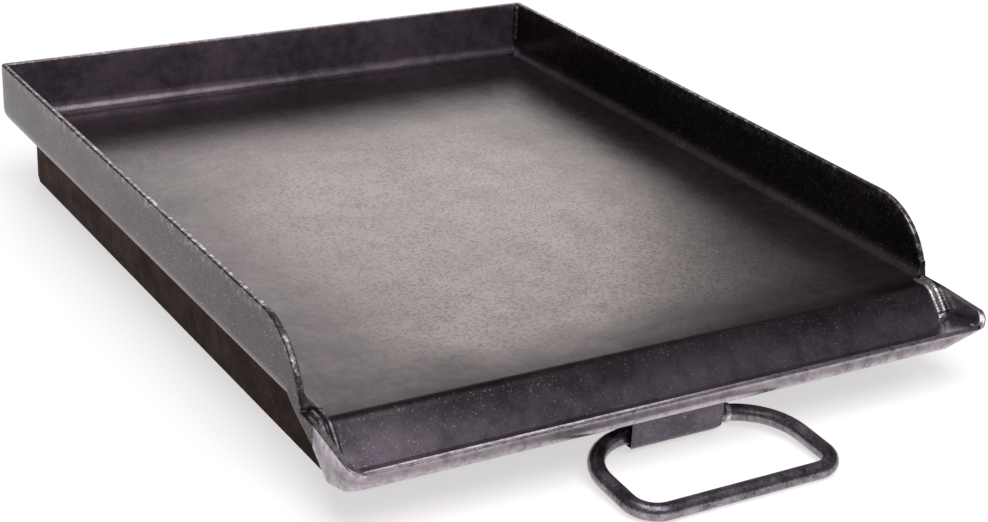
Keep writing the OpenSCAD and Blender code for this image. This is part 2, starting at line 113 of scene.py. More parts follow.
class NodeSketch:
    """Builds one node material a node at a time."""

    def __init__(self, name: str) -> None:
        """Starts a material with a Principled shader.

        Args:
            name: The material's name.
        """
        self.material = bpy.data.materials.new(name)
        self.material.use_nodes = True
        self.tree = self.material.node_tree
        self.tree.nodes.clear()
        output = self.add("OutputMaterial")
        self.shader = self.add("BsdfPrincipled")
        self.tree.links.new(self.shader.outputs["BSDF"], output.inputs["Surface"])
        self.place = self.add("TexCoord").outputs["Object"]

    def add(self, kind: str) -> bpy.types.Node:
        """Adds a shader node of a kind."""
        return self.tree.nodes.new("ShaderNode" + kind)

    def link(self, source: Socket | float | tuple, target: Socket) -> None:
        """Joins a socket, or sets a value, on an input.

        Args:
            source: An output socket, or the value to set.
            target: The input socket.
        """
        if isinstance(source, Socket):
            self.tree.links.new(source, target)
        else:
            target.default_value = source

    def cloud(self, scale: float, detail: float = 3.0, rough: float = 0.5) -> Socket:
        """Makes a noise texture.

        Args:
            scale: How many features in a metre.
            detail: The number of octaves.
            rough: How strong the finer octaves are.

        Returns:
            The noise's factor socket.
        """
        node = self.add("TexNoise")
        node.inputs["Scale"].default_value = scale
        node.inputs["Detail"].default_value = detail
        node.inputs["Roughness"].default_value = rough
        self.link(self.place, node.inputs["Vector"])
        return node.outputs["Fac"]

    def between(self, value: Socket, low: float, high: float, *results: float) -> Socket:
        """Maps a range smoothly to another one.

        Args:
            value: The value to map.
            low: Where the input range starts.
            high: Where the input range ends.
            results: The results at low and at high, or nothing for 0 and 1.

        Returns:
            The mapped value's socket.
        """
        node = self.add("MapRange")
        node.interpolation_type = "SMOOTHSTEP"
        names = ("From Min", "From Max", "To Min", "To Max")
        for name, number in zip(names, (low, high, *(results or (0.0, 1.0)))):
            node.inputs[name].default_value = number
        self.link(value, node.inputs["Value"])
        return node.outputs["Result"]

    def maths(self, operation: str, a: Socket | float, b: Socket | float) -> Socket:
        """Adds a Math node, whose result is held between 0 and 1 for ADD.

        Args:
            operation: The node's operation.
            a: The first value.
            b: The second value.

        Returns:
            The result's socket.
        """
        node = self.add("Math")
        node.operation = operation
        node.use_clamp = operation == "ADD"
        self.link(a, node.inputs[0])
        self.link(b, node.inputs[1])
        return node.outputs["Value"]

    def times(self, a: Socket | float, b: Socket | float) -> Socket:
        """Returns a times b."""
        return self.maths("MULTIPLY", a, b)

    def mixed(self, a: Socket, share: float, b: Socket) -> Socket:
        """Returns that share of a, plus the rest of b."""
        return self.maths("ADD", self.times(a, share), self.times(b, 1.0 - share))

    def blend(self, fac: Socket, a: Socket | RGB, b: Socket | RGB, mode: str = "MIX") -> Socket:
        """Mixes two colours.

        Args:
            fac: 0 for a, 1 for b.
            a: A colour or its socket.
            b: A colour or its socket.
            mode: How b acts on a.

        Returns:
            The mixed colour's socket.
        """
        node = self.add("Mix")
        node.data_type = "RGBA"
        node.blend_type = mode
        self.link(fac, node.inputs["Factor"])
        inputs = [socket for socket in node.inputs if socket.type == "RGBA"]
        for source, target in zip((a, b), inputs):
            self.link(source if isinstance(source, Socket) else (*source, 1.0), target)
        return next(socket for socket in node.outputs if socket.type == "RGBA")

    def painted(self, name: str) -> Socket:
        """Returns the value that a mesh carries at its points under that name."""
        node = self.add("Attribute")
        node.attribute_name = name
        return node.outputs["Fac"]

    def axes(self, source: Socket | None = None) -> tuple[Socket, Socket, Socket]:
        """Returns the X, Y and Z sockets of a vector, or of the object coordinates."""
        node = self.add("SeparateXYZ")
        self.link(source or self.place, node.inputs["Vector"])
        return node.outputs["X"], node.outputs["Y"], node.outputs["Z"]

    def facing_up(self) -> Socket:
        """Returns how far the surface faces up, from -1 to 1."""
        return self.axes(self.add("NewGeometry").outputs["Normal"])[2]

    def relief(self, height: Socket, depth: float, under: Socket | None = None) -> Socket:
        """Adds a bump.

        Args:
            height: The height, from 0 to 1.
            depth: The height of 1, in metres.
            under: An earlier bump's normal, or None.

        Returns:
            The normal's socket.
        """
        node = self.add("Bump")
        node.inputs["Distance"].default_value = depth
        self.link(height, node.inputs["Height"])
        if under is not None:
            self.link(under, node.inputs["Normal"])
        return node.outputs["Normal"]

    def dress(
        self, colour: Socket, rough: Socket, normal: Socket, metallic: float
    ) -> bpy.types.Material:
        """Joins the results to the shader.

        Args:
            colour: The base colour's socket.
            rough: The roughness's socket.
            normal: The normal's socket.
            metallic: How far the surface is bare metal.

        Returns:
            The finished material.
        """
        for name, source in (
            ("Base Color", colour),
            ("Roughness", rough),
            ("Normal", normal),
            ("Metallic", metallic),
        ):
            self.link(source, self.shader.inputs[name])
        return self.material


@dataclass(frozen=True)
class OiledSteel:
    """Hot-rolled sheet under a thin baked-on film of oil: mottled, grained, worn on its edges."""

    name: str
    dark: RGB = (0.055, 0.045, 0.053)
    pale: RGB = (0.155, 0.127, 0.148)
    worn: RGB = (0.62, 0.58, 0.6)
    metallic: float = 0.92
    rough: Point2 = (0.22, 0.32)
    patch_scale: float = 16.0
    grain_scale: float = 1300.0
    grain_depth: float = 0.000018
    ripple_depth: float = 0.00003
    dent_depth: float = 0.0005
    speck_share: float = 0.02
    speck_strength: float = 0.6
    edge_wear: float = 0.8
    rub: Point2 = (0.5, 0.62)
    edge_tint: RGB = (1.0, 1.0, 1.0)

    def film(self, sketch: NodeSketch) -> Socket:
        """Returns the mottled colour of the film itself."""
        broad = sketch.cloud(self.patch_scale, 4.0, 0.6)
        fine = sketch.cloud(self.patch_scale * 9.0, 3.0, 0.6)
        clouds = sketch.between(sketch.mixed(broad, 0.6, fine), 0.3, 0.7)
        return sketch.blend(clouds, self.dark, self.pale)

    def specks(self, sketch: NodeSketch) -> Socket:
        """Returns where small pale specks show."""
        dots = sketch.cloud(self.grain_scale * 0.85, 2.0, 0.5)
        return sketch.between(dots, 0.72 - self.speck_share, 0.78 - self.speck_share)

    def build(self) -> bpy.types.Material:
        """Makes the material.

        Returns:
            The finished material.
        """
        sketch = NodeSketch(self.name)
        sketch.link((*self.edge_tint, 1.0), sketch.shader.inputs["Specular Tint"])
        colour = self.film(sketch)
        specks = sketch.times(self.specks(sketch), self.speck_strength)
        colour = sketch.blend(specks, colour, self.worn)
        rub = sketch.between(sketch.cloud(260.0, 4.0, 0.7), *self.rub, 0.12, 1.0)
        wear = sketch.times(sketch.times(sketch.painted("wear"), rub), self.edge_wear)
        colour = sketch.blend(wear, colour, self.worn)
        sheen = sketch.cloud(self.patch_scale * 2.3, 5.0, 0.65)
        rough = sketch.between(sheen, 0.3, 0.7, *self.rough)
        normal = None
        for scale, detail, harshness, depth in (
            (24.0, 2.0, 0.4, self.dent_depth),
            (420.0, 3.0, 0.6, self.ripple_depth),
            (self.grain_scale, 4.0, 0.65, self.grain_depth),
        ):
            normal = sketch.relief(sketch.cloud(scale, detail, harshness), depth, normal)
        return sketch.dress(colour, rough, normal, self.metallic)


@dataclass(frozen=True)
class SeasonedPlate(OiledSteel):
    """The cooking plate: a grey worn middle that darkens into black seasoning and painted shade
    along its edges, with painted light and shade tinted onto some faces.
    """

    bare: RGB = (0.232, 0.204, 0.199)
    bare_pale: RGB = (0.278, 0.245, 0.239)
    grain_tone: RGB = (0.125, 0.11, 0.107)
    pit_tone: RGB = (0.07, 0.063, 0.06)
    # painted light: this tone brightens the inner face of the rear wall
    rear_wall_painted_light: RGB = (2.5, 2.4, 2.6)
    # painted shade: this tone darkens the inner face of the right wall
    right_wall_painted_shade: RGB = (0.3, 0.29, 0.29)
    # painted shade: this tone darkens and browns the side walls' outer faces, standing in for the
    # reflection of the shaded table beside them
    outside: RGB = (0.27, 0.22, 0.185)
    rear_outside: RGB = (0.15, 0.13, 0.11)
    # painted shade: this tone darkens the band along the front fold
    fold: RGB = (0.45, 0.45, 0.45)
    # painted reflection: this tone brightens the apron
    apron: RGB = (3.1, 3.15, 3.3)
    floor_film: RGB = (0.8, 0.77, 0.7)
    middle: tuple[float, float, float, float] = (-0.1703, 0.1703, -0.16, 0.235)
    fade: float = 0.03
    level: Point2 = (0.0396, 0.0412)

    def film(self, sketch: NodeSketch) -> Socket:
        """Returns the film's colour with painted light and shade multiplied in face by face, with
        the worn middle of the floor.
        """
        film = super().film(sketch)
        x, y, _ = sketch.axes()
        on_floor = self.on_floor(sketch)
        film = sketch.blend(on_floor, film, self.floor_film, "MULTIPLY")
        forward = sketch.times(y, -1.0)
        for axis, start, end, tone in (
            # painted light on the inner rear wall
            (y, 0.2525, 0.2555, self.rear_wall_painted_light),
            (y, 0.2572, 0.2584, self.rear_outside),
            # painted shade along the front fold
            (forward, 0.16, 0.171, self.fold),
            # painted reflection on the apron
            (forward, 0.176, 0.19, self.apron),
            # painted shade on the inner right wall
            (x, 0.1755, 0.1775, self.right_wall_painted_shade),
            # painted shade on the side walls' outer faces
            (sketch.maths("ABSOLUTE", x, 0.0), 0.1785, 0.181, self.outside),
        ):
            film = sketch.blend(sketch.between(axis, start, end), film, tone, "MULTIPLY")
        # 1 on the worn middle and 0 along the sides, where black seasoning and painted shade show
        rubbed = sketch.times(self.worn_middle_and_painted_shade(sketch, x, y), on_floor)
        return sketch.blend(rubbed, film, self.bare_steel(sketch))

    def worn_middle_and_painted_shade(self, sketch: NodeSketch, x: Socket, y: Socket) -> Socket:
        """Finds the worn middle of the floor, which fades out unevenly towards its four sides into
        black seasoning and painted shade.

        Args:
            sketch: The material's nodes.
            x: The X coordinate's socket.
            y: The Y coordinate's socket.

        Returns:
            1 in the middle and 0 along the sides.
        """
        wander = sketch.between(sketch.cloud(11.0, 2.0, 0.5), 0.3, 0.7, -0.006, 0.006)
        left, right, front, rear = self.middle
        found = None
        for axis, start, reach in (
            (x, left, 3.8),
            (x, right, -3.9),
            (y, front, 1.1),
            # painted shade: the long fade from the rear paints the dark reflection of the rear wall
            # on the floor
            (y, rear, -6.4),
        ):
            end = start + reach * self.fade
            ends = (start, end, 0.0, 1.0) if reach > 0 else (end, start, 1.0, 0.0)
            edge = sketch.between(sketch.maths("SUBTRACT", axis, wander), *ends)
            found = edge if found is None else sketch.times(found, edge)
        return found

    def bare_steel(self, sketch: NodeSketch) -> Socket:
        """Returns the worn middle's colour: faint clouds, a pebbled grain and small pits."""
        clouds = sketch.mixed(sketch.cloud(9.0, 3.0, 0.5), 0.5, sketch.cloud(300.0, 3.0, 0.7))
        bare = sketch.blend(sketch.between(clouds, 0.34, 0.68), self.bare, self.bare_pale)
        pebbles = sketch.between(sketch.cloud(560.0, 2.0, 0.6), 0.5, 0.6, 0.0, 0.8)
        bare = sketch.blend(pebbles, bare, self.grain_tone)
        pits = sketch.between(sketch.cloud(430.0, 2.0, 0.5), 0.66, 0.74, 0.0, 0.7)
        return sketch.blend(pits, bare, self.pit_tone)

    def on_floor(self, sketch: NodeSketch) -> Socket:
        """Returns 1 on the cooking floor's upper face and 0 elsewhere."""
        flat = sketch.between(sketch.facing_up(), 0.9, 0.99)
        return sketch.times(flat, sketch.between(sketch.axes()[2], *self.level))

    def specks(self, sketch: NodeSketch) -> Socket:
        """Returns where pale specks show, which is hardly at all on the rubbed floor."""
        off_floor = sketch.between(self.on_floor(sketch), 0.0, 1.0, 1.0, 0.12)
        return sketch.times(super().specks(sketch), off_floor)


@dataclass(frozen=True)
class WeldMetal:
    """Weld metal: bright bare ripples with darker heat tints, and slag in the dips."""

    name: str
    bright: RGB = (0.78, 0.76, 0.76)
    tint: RGB = (0.42, 0.37, 0.38)
    slag: RGB = (0.1, 0.09, 0.1)
    slag_share: float = 0.25

    def build(self) -> bpy.types.Material:
        """Makes the material.

        Returns:
            The finished material.
        """
        sketch = NodeSketch(self.name)
        heat = sketch.between(sketch.cloud(260.0, 3.0, 0.6), 0.38, 0.62)
        colour = sketch.blend(heat, self.bright, self.tint)
        low, high = 0.55 - self.slag_share, 1.0 - self.slag_share
        dips = sketch.between(sketch.painted("wear"), low, high, 1.0, 0.0)
        crust = sketch.between(sketch.cloud(520.0, 3.0, 0.6), 0.4, 0.6, 0.5, 1.0)
        colour = sketch.blend(sketch.times(dips, crust), colour, self.slag)
        rough = sketch.between(sketch.cloud(700.0, 3.0, 0.6), 0.3, 0.7, 0.26, 0.5)
        normal = sketch.relief(sketch.cloud(1500.0, 3.0, 0.6), 0.00008)
        return sketch.dress(colour, rough, normal, 1.0)


@dataclass(frozen=True)
class PaleTable:
    """The pale table that the griddle stands on."""

    name: str
    pale: RGB = (0.9, 0.895, 0.89)
    shaded: RGB = (0.8865, 0.881575, 0.87665)
    glow_tone: RGB = (1.0, 0.985, 0.98)
    glow: float = 0.6

    def build(self) -> bpy.types.Material:
        """Makes the material.

        Returns:
            The finished material.
        """
        sketch = NodeSketch(self.name)
        colour = sketch.blend(sketch.cloud(3.0, 2.0, 0.5), self.pale, self.shaded)
        rough = sketch.between(sketch.cloud(8.0, 2.0, 0.5), 0.3, 0.7, 0.75, 0.85)
        sketch.link((*self.glow_tone, 1.0), sketch.shader.inputs["Emission Color"])
        sketch.link(self.glow, sketch.shader.inputs["Emission Strength"])
        normal = sketch.relief(sketch.cloud(400.0, 2.0, 0.5), 0.00002)
        return sketch.dress(colour, rough, normal, 0.0)


# ---------------------------------------------------------------- meshes


class MeshMaker:
    """Collects the faces of one piece, in metres, and makes its object."""

    def __init__(self) -> None:
        """Starts an empty mesh with a value for wear at each point."""
        self.bm = bmesh.new()
        self.wear = self.bm.verts.layers.float.new("wear")

    def loft(
        self,
        rows: list[Row],
        wears: list[list[float]] | None = None,
        ring: bool = False,
        loop: bool = False,
    ) -> None:
        """Joins rows of points with quads.

        Args:
            rows: Rows of the same number of points.
            wears: How worn each point is, or None for none.
            ring: Whether each row closes on itself.
            loop: Whether the last row joins the first.
        """
        grid = []
        for i, row in enumerate(rows):
            line = []
            for j, co in enumerate(row):
                vert = self.bm.verts.new(co)
                vert[self.wear] = wears[i][j] if wears else 0.0
                line.append(vert)
            grid.append(line)
        across = len(rows[0]) if ring else len(rows[0]) - 1
        for i in range(len(rows) if loop else len(rows) - 1):
            for j in range(across):
                a, b = grid[i], grid[(i + 1) % len(grid)]
                k = (j + 1) % len(rows[0])
                self.bm.faces.new((a[j], a[k], b[k], b[j]))

    def cap(self, ring: Row) -> None:
        """Closes a ring of points with one face."""
        self.bm.faces.new([self.bm.verts.new(co) for co in ring])

    def slab(self, outline: Row, run: Vector) -> None:
        """Extrudes a flat outline into a closed solid.

        Args:
            outline: The outline's points in order.
            run: How far and which way it is extruded.
        """
        near = [self.bm.verts.new(co) for co in outline]
        far = [self.bm.verts.new(co + run) for co in outline]
        self.bm.faces.new(near)
        self.bm.faces.new(list(reversed(far)))
        for i, vert in enumerate(near):
            j = (i + 1) % len(near)
            self.bm.faces.new((near[j], vert, far[i], far[j]))

    def round_edges(
        self, width: float, segments: int = 3, over: float = 30.0, wear: float = 1.0
    ) -> None:
        """Rounds every edge that is sharper than an angle, and marks it as worn.

        Args:
            width: The width of the rounding.
            segments: How many faces it has across.
            over: The angle in degrees.
            wear: How worn the rounded edge is.
        """
        bmesh.ops.recalc_face_normals(self.bm, faces=self.bm.faces)
        limit = math.radians(over)
        joined = [edge for edge in self.bm.edges if len(edge.link_faces) == 2]
        made = bmesh.ops.bevel(
            self.bm,
            geom=[edge for edge in joined if edge.calc_face_angle(0.0) > limit],
            offset=width,
            offset_type="OFFSET",
            segments=segments,
            profile=0.5,
            affect="EDGES",
            clamp_overlap=True,
        )
        rounded = set(made["faces"])
        for vert in made["verts"]:
            if all(face in rounded for face in vert.link_faces):
                vert[self.wear] = wear

    def shape(self, name: str, sharp_over: float = 38.0, weld: float = 2e-6) -> bpy.types.Object:
        """Makes the object.

        Args:
            name: The piece's name.
            sharp_over: Edges sharper than this many degrees stay crisp.
            weld: Points closer than this are joined.

        Returns:
            The new object, not yet dressed.
        """
        bmesh.ops.remove_doubles(self.bm, verts=self.bm.verts, dist=weld)
        bmesh.ops.dissolve_degenerate(self.bm, edges=self.bm.edges, dist=weld)
        bmesh.ops.recalc_face_normals(self.bm, faces=self.bm.faces)
        mesh = bpy.data.meshes.new(name)
        self.bm.to_mesh(mesh)
        self.bm.free()
        mesh.shade_smooth()
        mesh.set_sharp_from_angle(angle=math.radians(sharp_over))
        piece = bpy.data.objects.new(name, mesh)
        bpy.context.scene.collection.objects.link(piece)
        return piece


def arc(centre: Point2, radius: float, start: float, end: float, steps: int) -> list[Point2]:
    """Returns points on an arc.

    Args:
        centre: The arc's centre.
        radius: Its radius.
        start: The first angle in degrees.
        end: The last angle in degrees.
        steps: How many steps it is cut into.

    Returns:
        steps + 1 points.
    """
    found = []
    for i in range(steps + 1):
        a = math.radians(start + (end - start) * i / steps)
        found.append((centre[0] + radius * math.cos(a), centre[1] + radius * math.sin(a)))
    return found


def spaced(start: float, end: float, steps: int) -> list[float]:
    """Returns steps + 1 numbers evenly from start to end."""
    return [start + (end - start) * i / steps for i in range(steps + 1)]


def drawn(start: Point2, end: Point2, steps: int) -> list[Point2]:
    """Returns steps + 1 points evenly from start to end."""
    (a, b), (c, d) = start, end
    return [(a + (c - a) * t, b + (d - b) * t) for t in spaced(0, 1, steps)]


def standing(x: float, outline: list[Point2]) -> Row:
    """Returns an outline's (y, z) points as points at one X."""
    return [Vector((x, y, z)) for y, z in outline]


def lying(start: float, end: float, steps: int, y: float, z: float) -> Row:
    """Returns steps + 1 points on a line along X."""
    return [Vector((x, y, z)) for x in spaced(start, end, steps)]


@dataclass(frozen=True)
class Bead:
    """One run of weld along a line: a slightly uneven rounded ridge with ripples."""

    line: Row
    radius: float
    pitch: float = 0.0016
    seed: int = 1
    closed: bool = False
    flat: float = 1.0
    depth: float = 0.13
    sides: int = 12

    def walk(self) -> list[tuple[Vector, Vector, float]]:
        """Steps along the line.

        Returns:
            The point, the direction and the distance along the line of each step.
        """
        points = self.line + ([self.line[0]] if self.closed else [])
        step = self.pitch / 5
        found, run = [], 0.0
        for a, b in zip(points, points[1:]):
            length = (b - a).length
            count = max(1, round(length / step))
            for i in range(count):
                found.append((a.lerp(b, i / count), (b - a).normalized(), run + length * i / count))
            run += length
        if not self.closed:
            found.append((points[-1], found[-1][1], run))
        return found

    def taper(self, run: float, total: float) -> float:
        """Returns how full the bead is at a distance along it, which is less at its two ends."""
        if self.closed:
            return 1.0
        return min(1.0, *(math.sqrt(reach / self.radius + 0.35) for reach in (run, total - run)))

    def lay(self, maker: MeshMaker, up: Vector) -> None:
        """Adds the bead to a mesh.

        Args:
            maker: The mesh to add it to.
            up: Roughly the way the bead stands proud.
        """
        rng = random.Random(self.seed)
        shift = Vector((rng.random() * 50, rng.random() * 50, 0))
        steps = self.walk()
        total = steps[-1][2]
        rows, wears = [], []
        for point, along, run in steps:
            phase = (run / self.pitch) % 1.0
            ripple = math.sqrt(max(0.0, 1.0 - phase * phase * 0.9))
            wobble = noise.noise(Vector((run * 260, 0, 0)) + shift)
            fullness = 0.95 - self.depth * (1.0 - ripple) + 0.05 * wobble
            r = self.radius * fullness * self.taper(run, total)
            side = along.cross(up).normalized()
            rise = side.cross(along).normalized()
            lean = self.radius * 0.12 * noise.noise(Vector((run * 180, 9, 0)) + shift)
            row = []
            for u, v in arc((lean, 0.0), r, 0, 360, self.sides)[:-1]:
                row.append(point + side * u + rise * (self.flat * v))
            rows.append(row)
            wears.append([ripple] * self.sides)
        maker.loft(rows, wears, ring=True, loop=self.closed)
        if not self.closed:
            maker.cap(rows[0])
            maker.cap(rows[-1])


# ---------------------------------------------------------------- the frame's numbers


@dataclass(frozen=True)
class Datum:
    """Places read from the CAD frame, with the sheet sizes that shape the pieces between them."""

    half_w: float
    rear_y: float
    rim_z: float
    floor_z: float
    keel_y: float
    lip_y: float
    lip_top_z: float
    rail: tuple[Vector, Vector]
    pivot: Vector
    sheet: float = 0.0035
    bend_r: float = 0.0075
    apron_angle: float = math.radians(47)
    rise_angle: float = math.radians(14)
    kick_angle: float = math.radians(15)
    fold_r: float = 0.009
    drop: float = 0.0176

    @classmethod
    def read(cls, frame: dict) -> "Datum":
        """Reads the places from the CAD nodes.


        Returns:
            The places.
        """
        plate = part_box("cooking_plate")
        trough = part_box("grease_trough")
        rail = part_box("side_rail_left")
        return cls(
            half_w=plate[1].x,
            rear_y=plate[1].y,
            rim_z=plate[1].z,
            floor_z=rail[1].z,
            keel_y=plate[0].y,
            lip_y=trough[0].y,
            lip_top_z=trough[1].z,
            rail=rail,
            pivot=Vector(frame["joints"][0]["pos_m"]),
        )

    @property
    def half_in(self) -> float:
        """Half the clear width between the side walls."""
        return self.half_w - self.sheet

    @property
    def top_z(self) -> float:
        """The cooking floor's height."""
        return self.floor_z + self.sheet

    @property
    def fold_y(self) -> float:
        """Where the cooking floor meets the front fold."""
        fold_drop = self.fold_r * (1 - math.cos(self.apron_angle))
        fold_run = self.fold_r * math.sin(self.apron_angle)
        return self.keel_y + fold_run + (self.drop - fold_drop) / math.tan(self.apron_angle)

    @property
    def keel(self) -> Point2:
        """The trough's lowest line on its upper face, as (y, z)."""
        return self.keel_y, self.top_z - self.drop

    @property
    def keel_under(self) -> Point2:
        """The trough's lowest line on its lower face, as (y, z)."""
        half = (self.apron_angle + self.rise_angle) / 2
        turn = (self.apron_angle - self.rise_angle) / 2
        reach = self.sheet / math.cos(half)
        return self.keel[0] + reach * math.sin(turn), self.keel[1] - reach * math.cos(turn)

    def under_apron_z(self, y: float) -> float:
        """Returns the height of the apron's lower face."""
        return self.keel_under[1] + (y - self.keel_under[0]) * math.tan(self.apron_angle)

    def fold(self, radius: float, steps: int) -> list[Point2]:
        """Returns the points round the front fold, after its first one, at a radius."""
        centre = (self.fold_y, self.top_z - self.fold_r)
        return arc(centre, radius, 90, 90 + math.degrees(self.apron_angle), steps)[1:]

    def under_trough_z(self, y: float) -> float:
        """Returns the height of the trough's lower face."""
        return self.keel_under[1] + (self.keel_under[0] - y) * math.tan(self.rise_angle)


@dataclass
class Assembly:
    """What every sub-assembly of the griddle shares."""

    datum: Datum
    finishes: dict[Slot, bpy.types.Material]
    oiled_weld: bpy.types.Material
    made: list[bpy.types.Object] = field(default_factory=list)

    def place(
        self,
        piece: bpy.types.Object,
        slot: Slot,
        *nodes: str,
        body: Body = Body.GRIDDLE,
        oiled: bool = False,
    ) -> None:
        """Dresses a piece and ties it to the CAD frame.

        Args:
            piece: The piece.
            slot: The material slot it takes its finish from.
            nodes: The CAD nodes that it stands for.
            body: The body that it rides on.
            oiled: Whether it is weld that is blackened by oil.
        """
        piece.data.materials.append(self.oiled_weld if oiled else self.finishes[slot])
        even = piece.modifiers.new("even_normals", "WEIGHTED_NORMAL")
        even.keep_sharp = True
        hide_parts(*nodes)
        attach(piece, body.value)
        self.made.append(piece)
        log.info("%s stands for %s on %s", piece.name, ", ".join(nodes), body.value)


# ---------------------------------------------------------------- cooking plate


@dataclass(frozen=True)
class WallSection:
    """One upright cross section of the walls, which starts at the foot of their inner face."""

    side: Side
    base: Point2
    out: Point2
    inward: Point2
    top: Vector | None = None
    up: Vector | None = None
    front: "CookingPlate | None" = None

    def at(self, n: float, z: float) -> Vector:
        """Returns a point at a distance outwards from the inner face, and at a height."""
        way = self.out if n >= 0 else self.inward
        x, y = self.base[0] + way[0] * n, self.base[1] + way[1] * n
        if self.front is not None:
            y = self.front.fin_y(max(z, self.front.datum.top_z))
        return self.side.at(x, y, z)

    def on_rim(self, n: float, above: float, rim_z: float) -> Vector:
        """Returns a point at a distance outwards, and above the top edge."""
        if self.top is None:
            return self.at(n, rim_z + above)
        spot = self.top + self.up * above
        return self.side.at(self.base[0] + n, spot.y, spot.z)


@dataclass
class CookingPlate(Assembly):
    """The folded plate: floor, side and rear walls with bent feet, front fold, apron and cheeks."""

    fin_r: float = 0.042
    fin_back: float = 0.0495
    apron_gap: float = 0.0063
    edge_r: float = 0.0009
    rim_wear: tuple[float, ...] = (0.45, 0.9, 1.0, 1.0, 1.0, 1.0, 0.9, 0.45)
    fin_steps: int = 16
    bend_steps: int = 8
    wall_steps: int = 4
    corner_steps: int = 5

    def build(self) -> None:
        """Builds the plate and the beads down its rear corners."""
        maker = MeshMaker()
        for side in Side:
            self.add_walls(maker, side)
            self.add_floor(maker, side)
            self.add_cheek(maker, side)
        plate = maker.shape("cooking_plate_sheet", sharp_over=50.0)
        self.place(plate, Slot.PLATE, "cooking_plate")
        for side in Side:
            self.add_corner_bead(side)

    @property
    def fin(self) -> Point2:
        """The centre of a side wall's rounded front end, as (y, z)."""
        return self.datum.fold_y + self.fin_back, self.datum.rim_z - self.fin_r

    def fin_y(self, z: float) -> float:
        """Returns where the rounded front end is at a height."""
        return self.fin[0] - math.sqrt(self.fin_r**2 - (z - self.fin[1]) ** 2)

    def bend_z(self) -> float:
        """Returns the height at which the walls' feet end."""
        return self.datum.top_z + self.datum.bend_r

    def side_ys(self) -> list[float]:
        """Returns the stations along a side wall's foot, from front to rear."""
        low = self.fin_y(self.bend_z())
        shares = [(i / self.fin_steps) ** 1.3 for i in range(self.fin_steps)]
        rear = self.datum.rear_y - self.datum.sheet - self.datum.bend_r
        front = [low + (self.fin[0] - low) * share for share in shares]
        return front + spaced(self.fin[0], rear, 16)

    def back_xs(self) -> list[float]:
        """Returns the stations along half the rear wall, from the corner to the middle."""
        return spaced(self.datum.half_in - self.datum.bend_r, 0.0, 14)

    def sections(self, side: Side) -> list[WallSection]:
        """Lists the cross sections from one side wall's front to the middle of the rear wall."""
        d, found = self.datum, []
        inner_rear, start_z = d.rear_y - d.sheet, self.bend_z()
        first = math.degrees(math.atan2(start_z - self.fin[1], self.fin_y(start_z) - self.fin[0]))
        turns = arc((0.0, 0.0), 1.0, first, 90, self.fin_steps)
        for i, y in enumerate(self.side_ys()):
            up, top = Vector((0, 0, 1)), Vector((0, y, d.rim_z))
            if i <= self.fin_steps:
                up = Vector((0, *turns[i]))
                top = Vector((0, *self.fin)) + up * self.fin_r
            front = self if i == 0 else None
            found.append(WallSection(side, (d.half_in, y), (1, 0), (1, 0), top, up, front))
        for out in arc((0.0, 0.0), 1.0, 0, 90, self.corner_steps)[1:]:
            found.append(WallSection(side, (d.half_in, inner_rear), out, (1, 1)))
        for x in self.back_xs()[1:]:
            found.append(WallSection(side, (x, inner_rear), (0, 1), (0, 1)))
        return found

    def add_walls(self, maker: MeshMaker, side: Side) -> None:
        """Adds half of the walls, from inside to outside over the rim.

        Args:
            maker: The plate's mesh.
            side: Which half.
        """
        d, e = self.datum, self.edge_r
        start_z = self.bend_z()
        inner = arc((-d.bend_r, start_z), d.bend_r, -90, 0, self.bend_steps)
        outer = arc((-d.bend_r, start_z), d.bend_r + d.sheet, 0, -90, self.bend_steps)
        rim = arc((e, -e), e, 180, 90, 3) + arc((d.sheet - e, -e), e, 90, 0, 3)
        shares = [k / self.wall_steps for k in range(1, self.wall_steps)]
        still, flat = [0.0] * len(inner), [0.0] * len(shares)
        wear = still + flat + list(self.rim_wear) + flat + still
        rows = []
        for section in self.sections(side):
            row = [section.at(n, z) for n, z in inner]
            edge = [section.on_rim(n, above, d.rim_z) for n, above in rim]
            foot_in, foot_out = row[-1], section.at(d.sheet, start_z)
            row += [foot_in.lerp(edge[0], share) for share in shares] + edge
            row += [edge[-1].lerp(foot_out, share) for share in shares]
            rows.append(row + [section.at(n, z) for n, z in outer])
        maker.loft(rows, [wear] * len(rows))
        first = rows[0]
        maker.loft([first[: len(inner)], list(reversed(first[-len(inner) :]))])

    def floor_rows(self) -> list[tuple[float, float, float, float]]:
        """Lists the floor's and apron's stations from rear to front.

        Returns:
            (y, z) of the upper face and (y, z) of the lower face for each one.
        """
        d = self.datum
        rear = d.rear_y - d.sheet - d.bend_r
        flat = list(reversed(self.side_ys()[1:]))
        flat[0] = rear
        foot = self.fin_y(d.top_z)
        flat += [foot] + spaced(foot, d.fold_y, 3)[1:]
        rows = [(y, d.top_z, y, d.floor_z) for y in flat]
        upper, lower = d.fold(d.fold_r, 8), d.fold(d.fold_r - d.sheet, 8)
        upper += drawn(upper[-1], d.keel, 6)[1:]
        lower += drawn(lower[-1], d.keel_under, 6)[1:]
        rows += [(*a, *b) for a, b in zip(upper, lower)]
        return rows

    def add_floor(self, maker: MeshMaker, side: Side) -> None:
        """Adds half of the floor and apron, on both faces.

        Args:
            maker: The plate's mesh.
            side: Which half.
        """
        d = self.datum
        foot = self.fin_y(d.top_z)
        upper, lower, ends = [], [], []
        for y, z, y_under, z_under in self.floor_rows():
            xs = list(self.back_xs())
            if y < foot - 1e-6:
                xs[0] = d.half_in - self.apron_gap
            if y < foot + 1e-6:
                ends.append([side.at(xs[0], y, z), side.at(xs[0], y_under, z_under)])
            upper.append([side.at(x, y, z) for x in xs])
            lower.append([side.at(x, y_under, z_under) for x in xs])
        maker.loft(upper)
        maker.loft([list(reversed(row)) for row in lower])
        maker.loft(ends)
        maker.loft([upper[-1], lower[-1]])

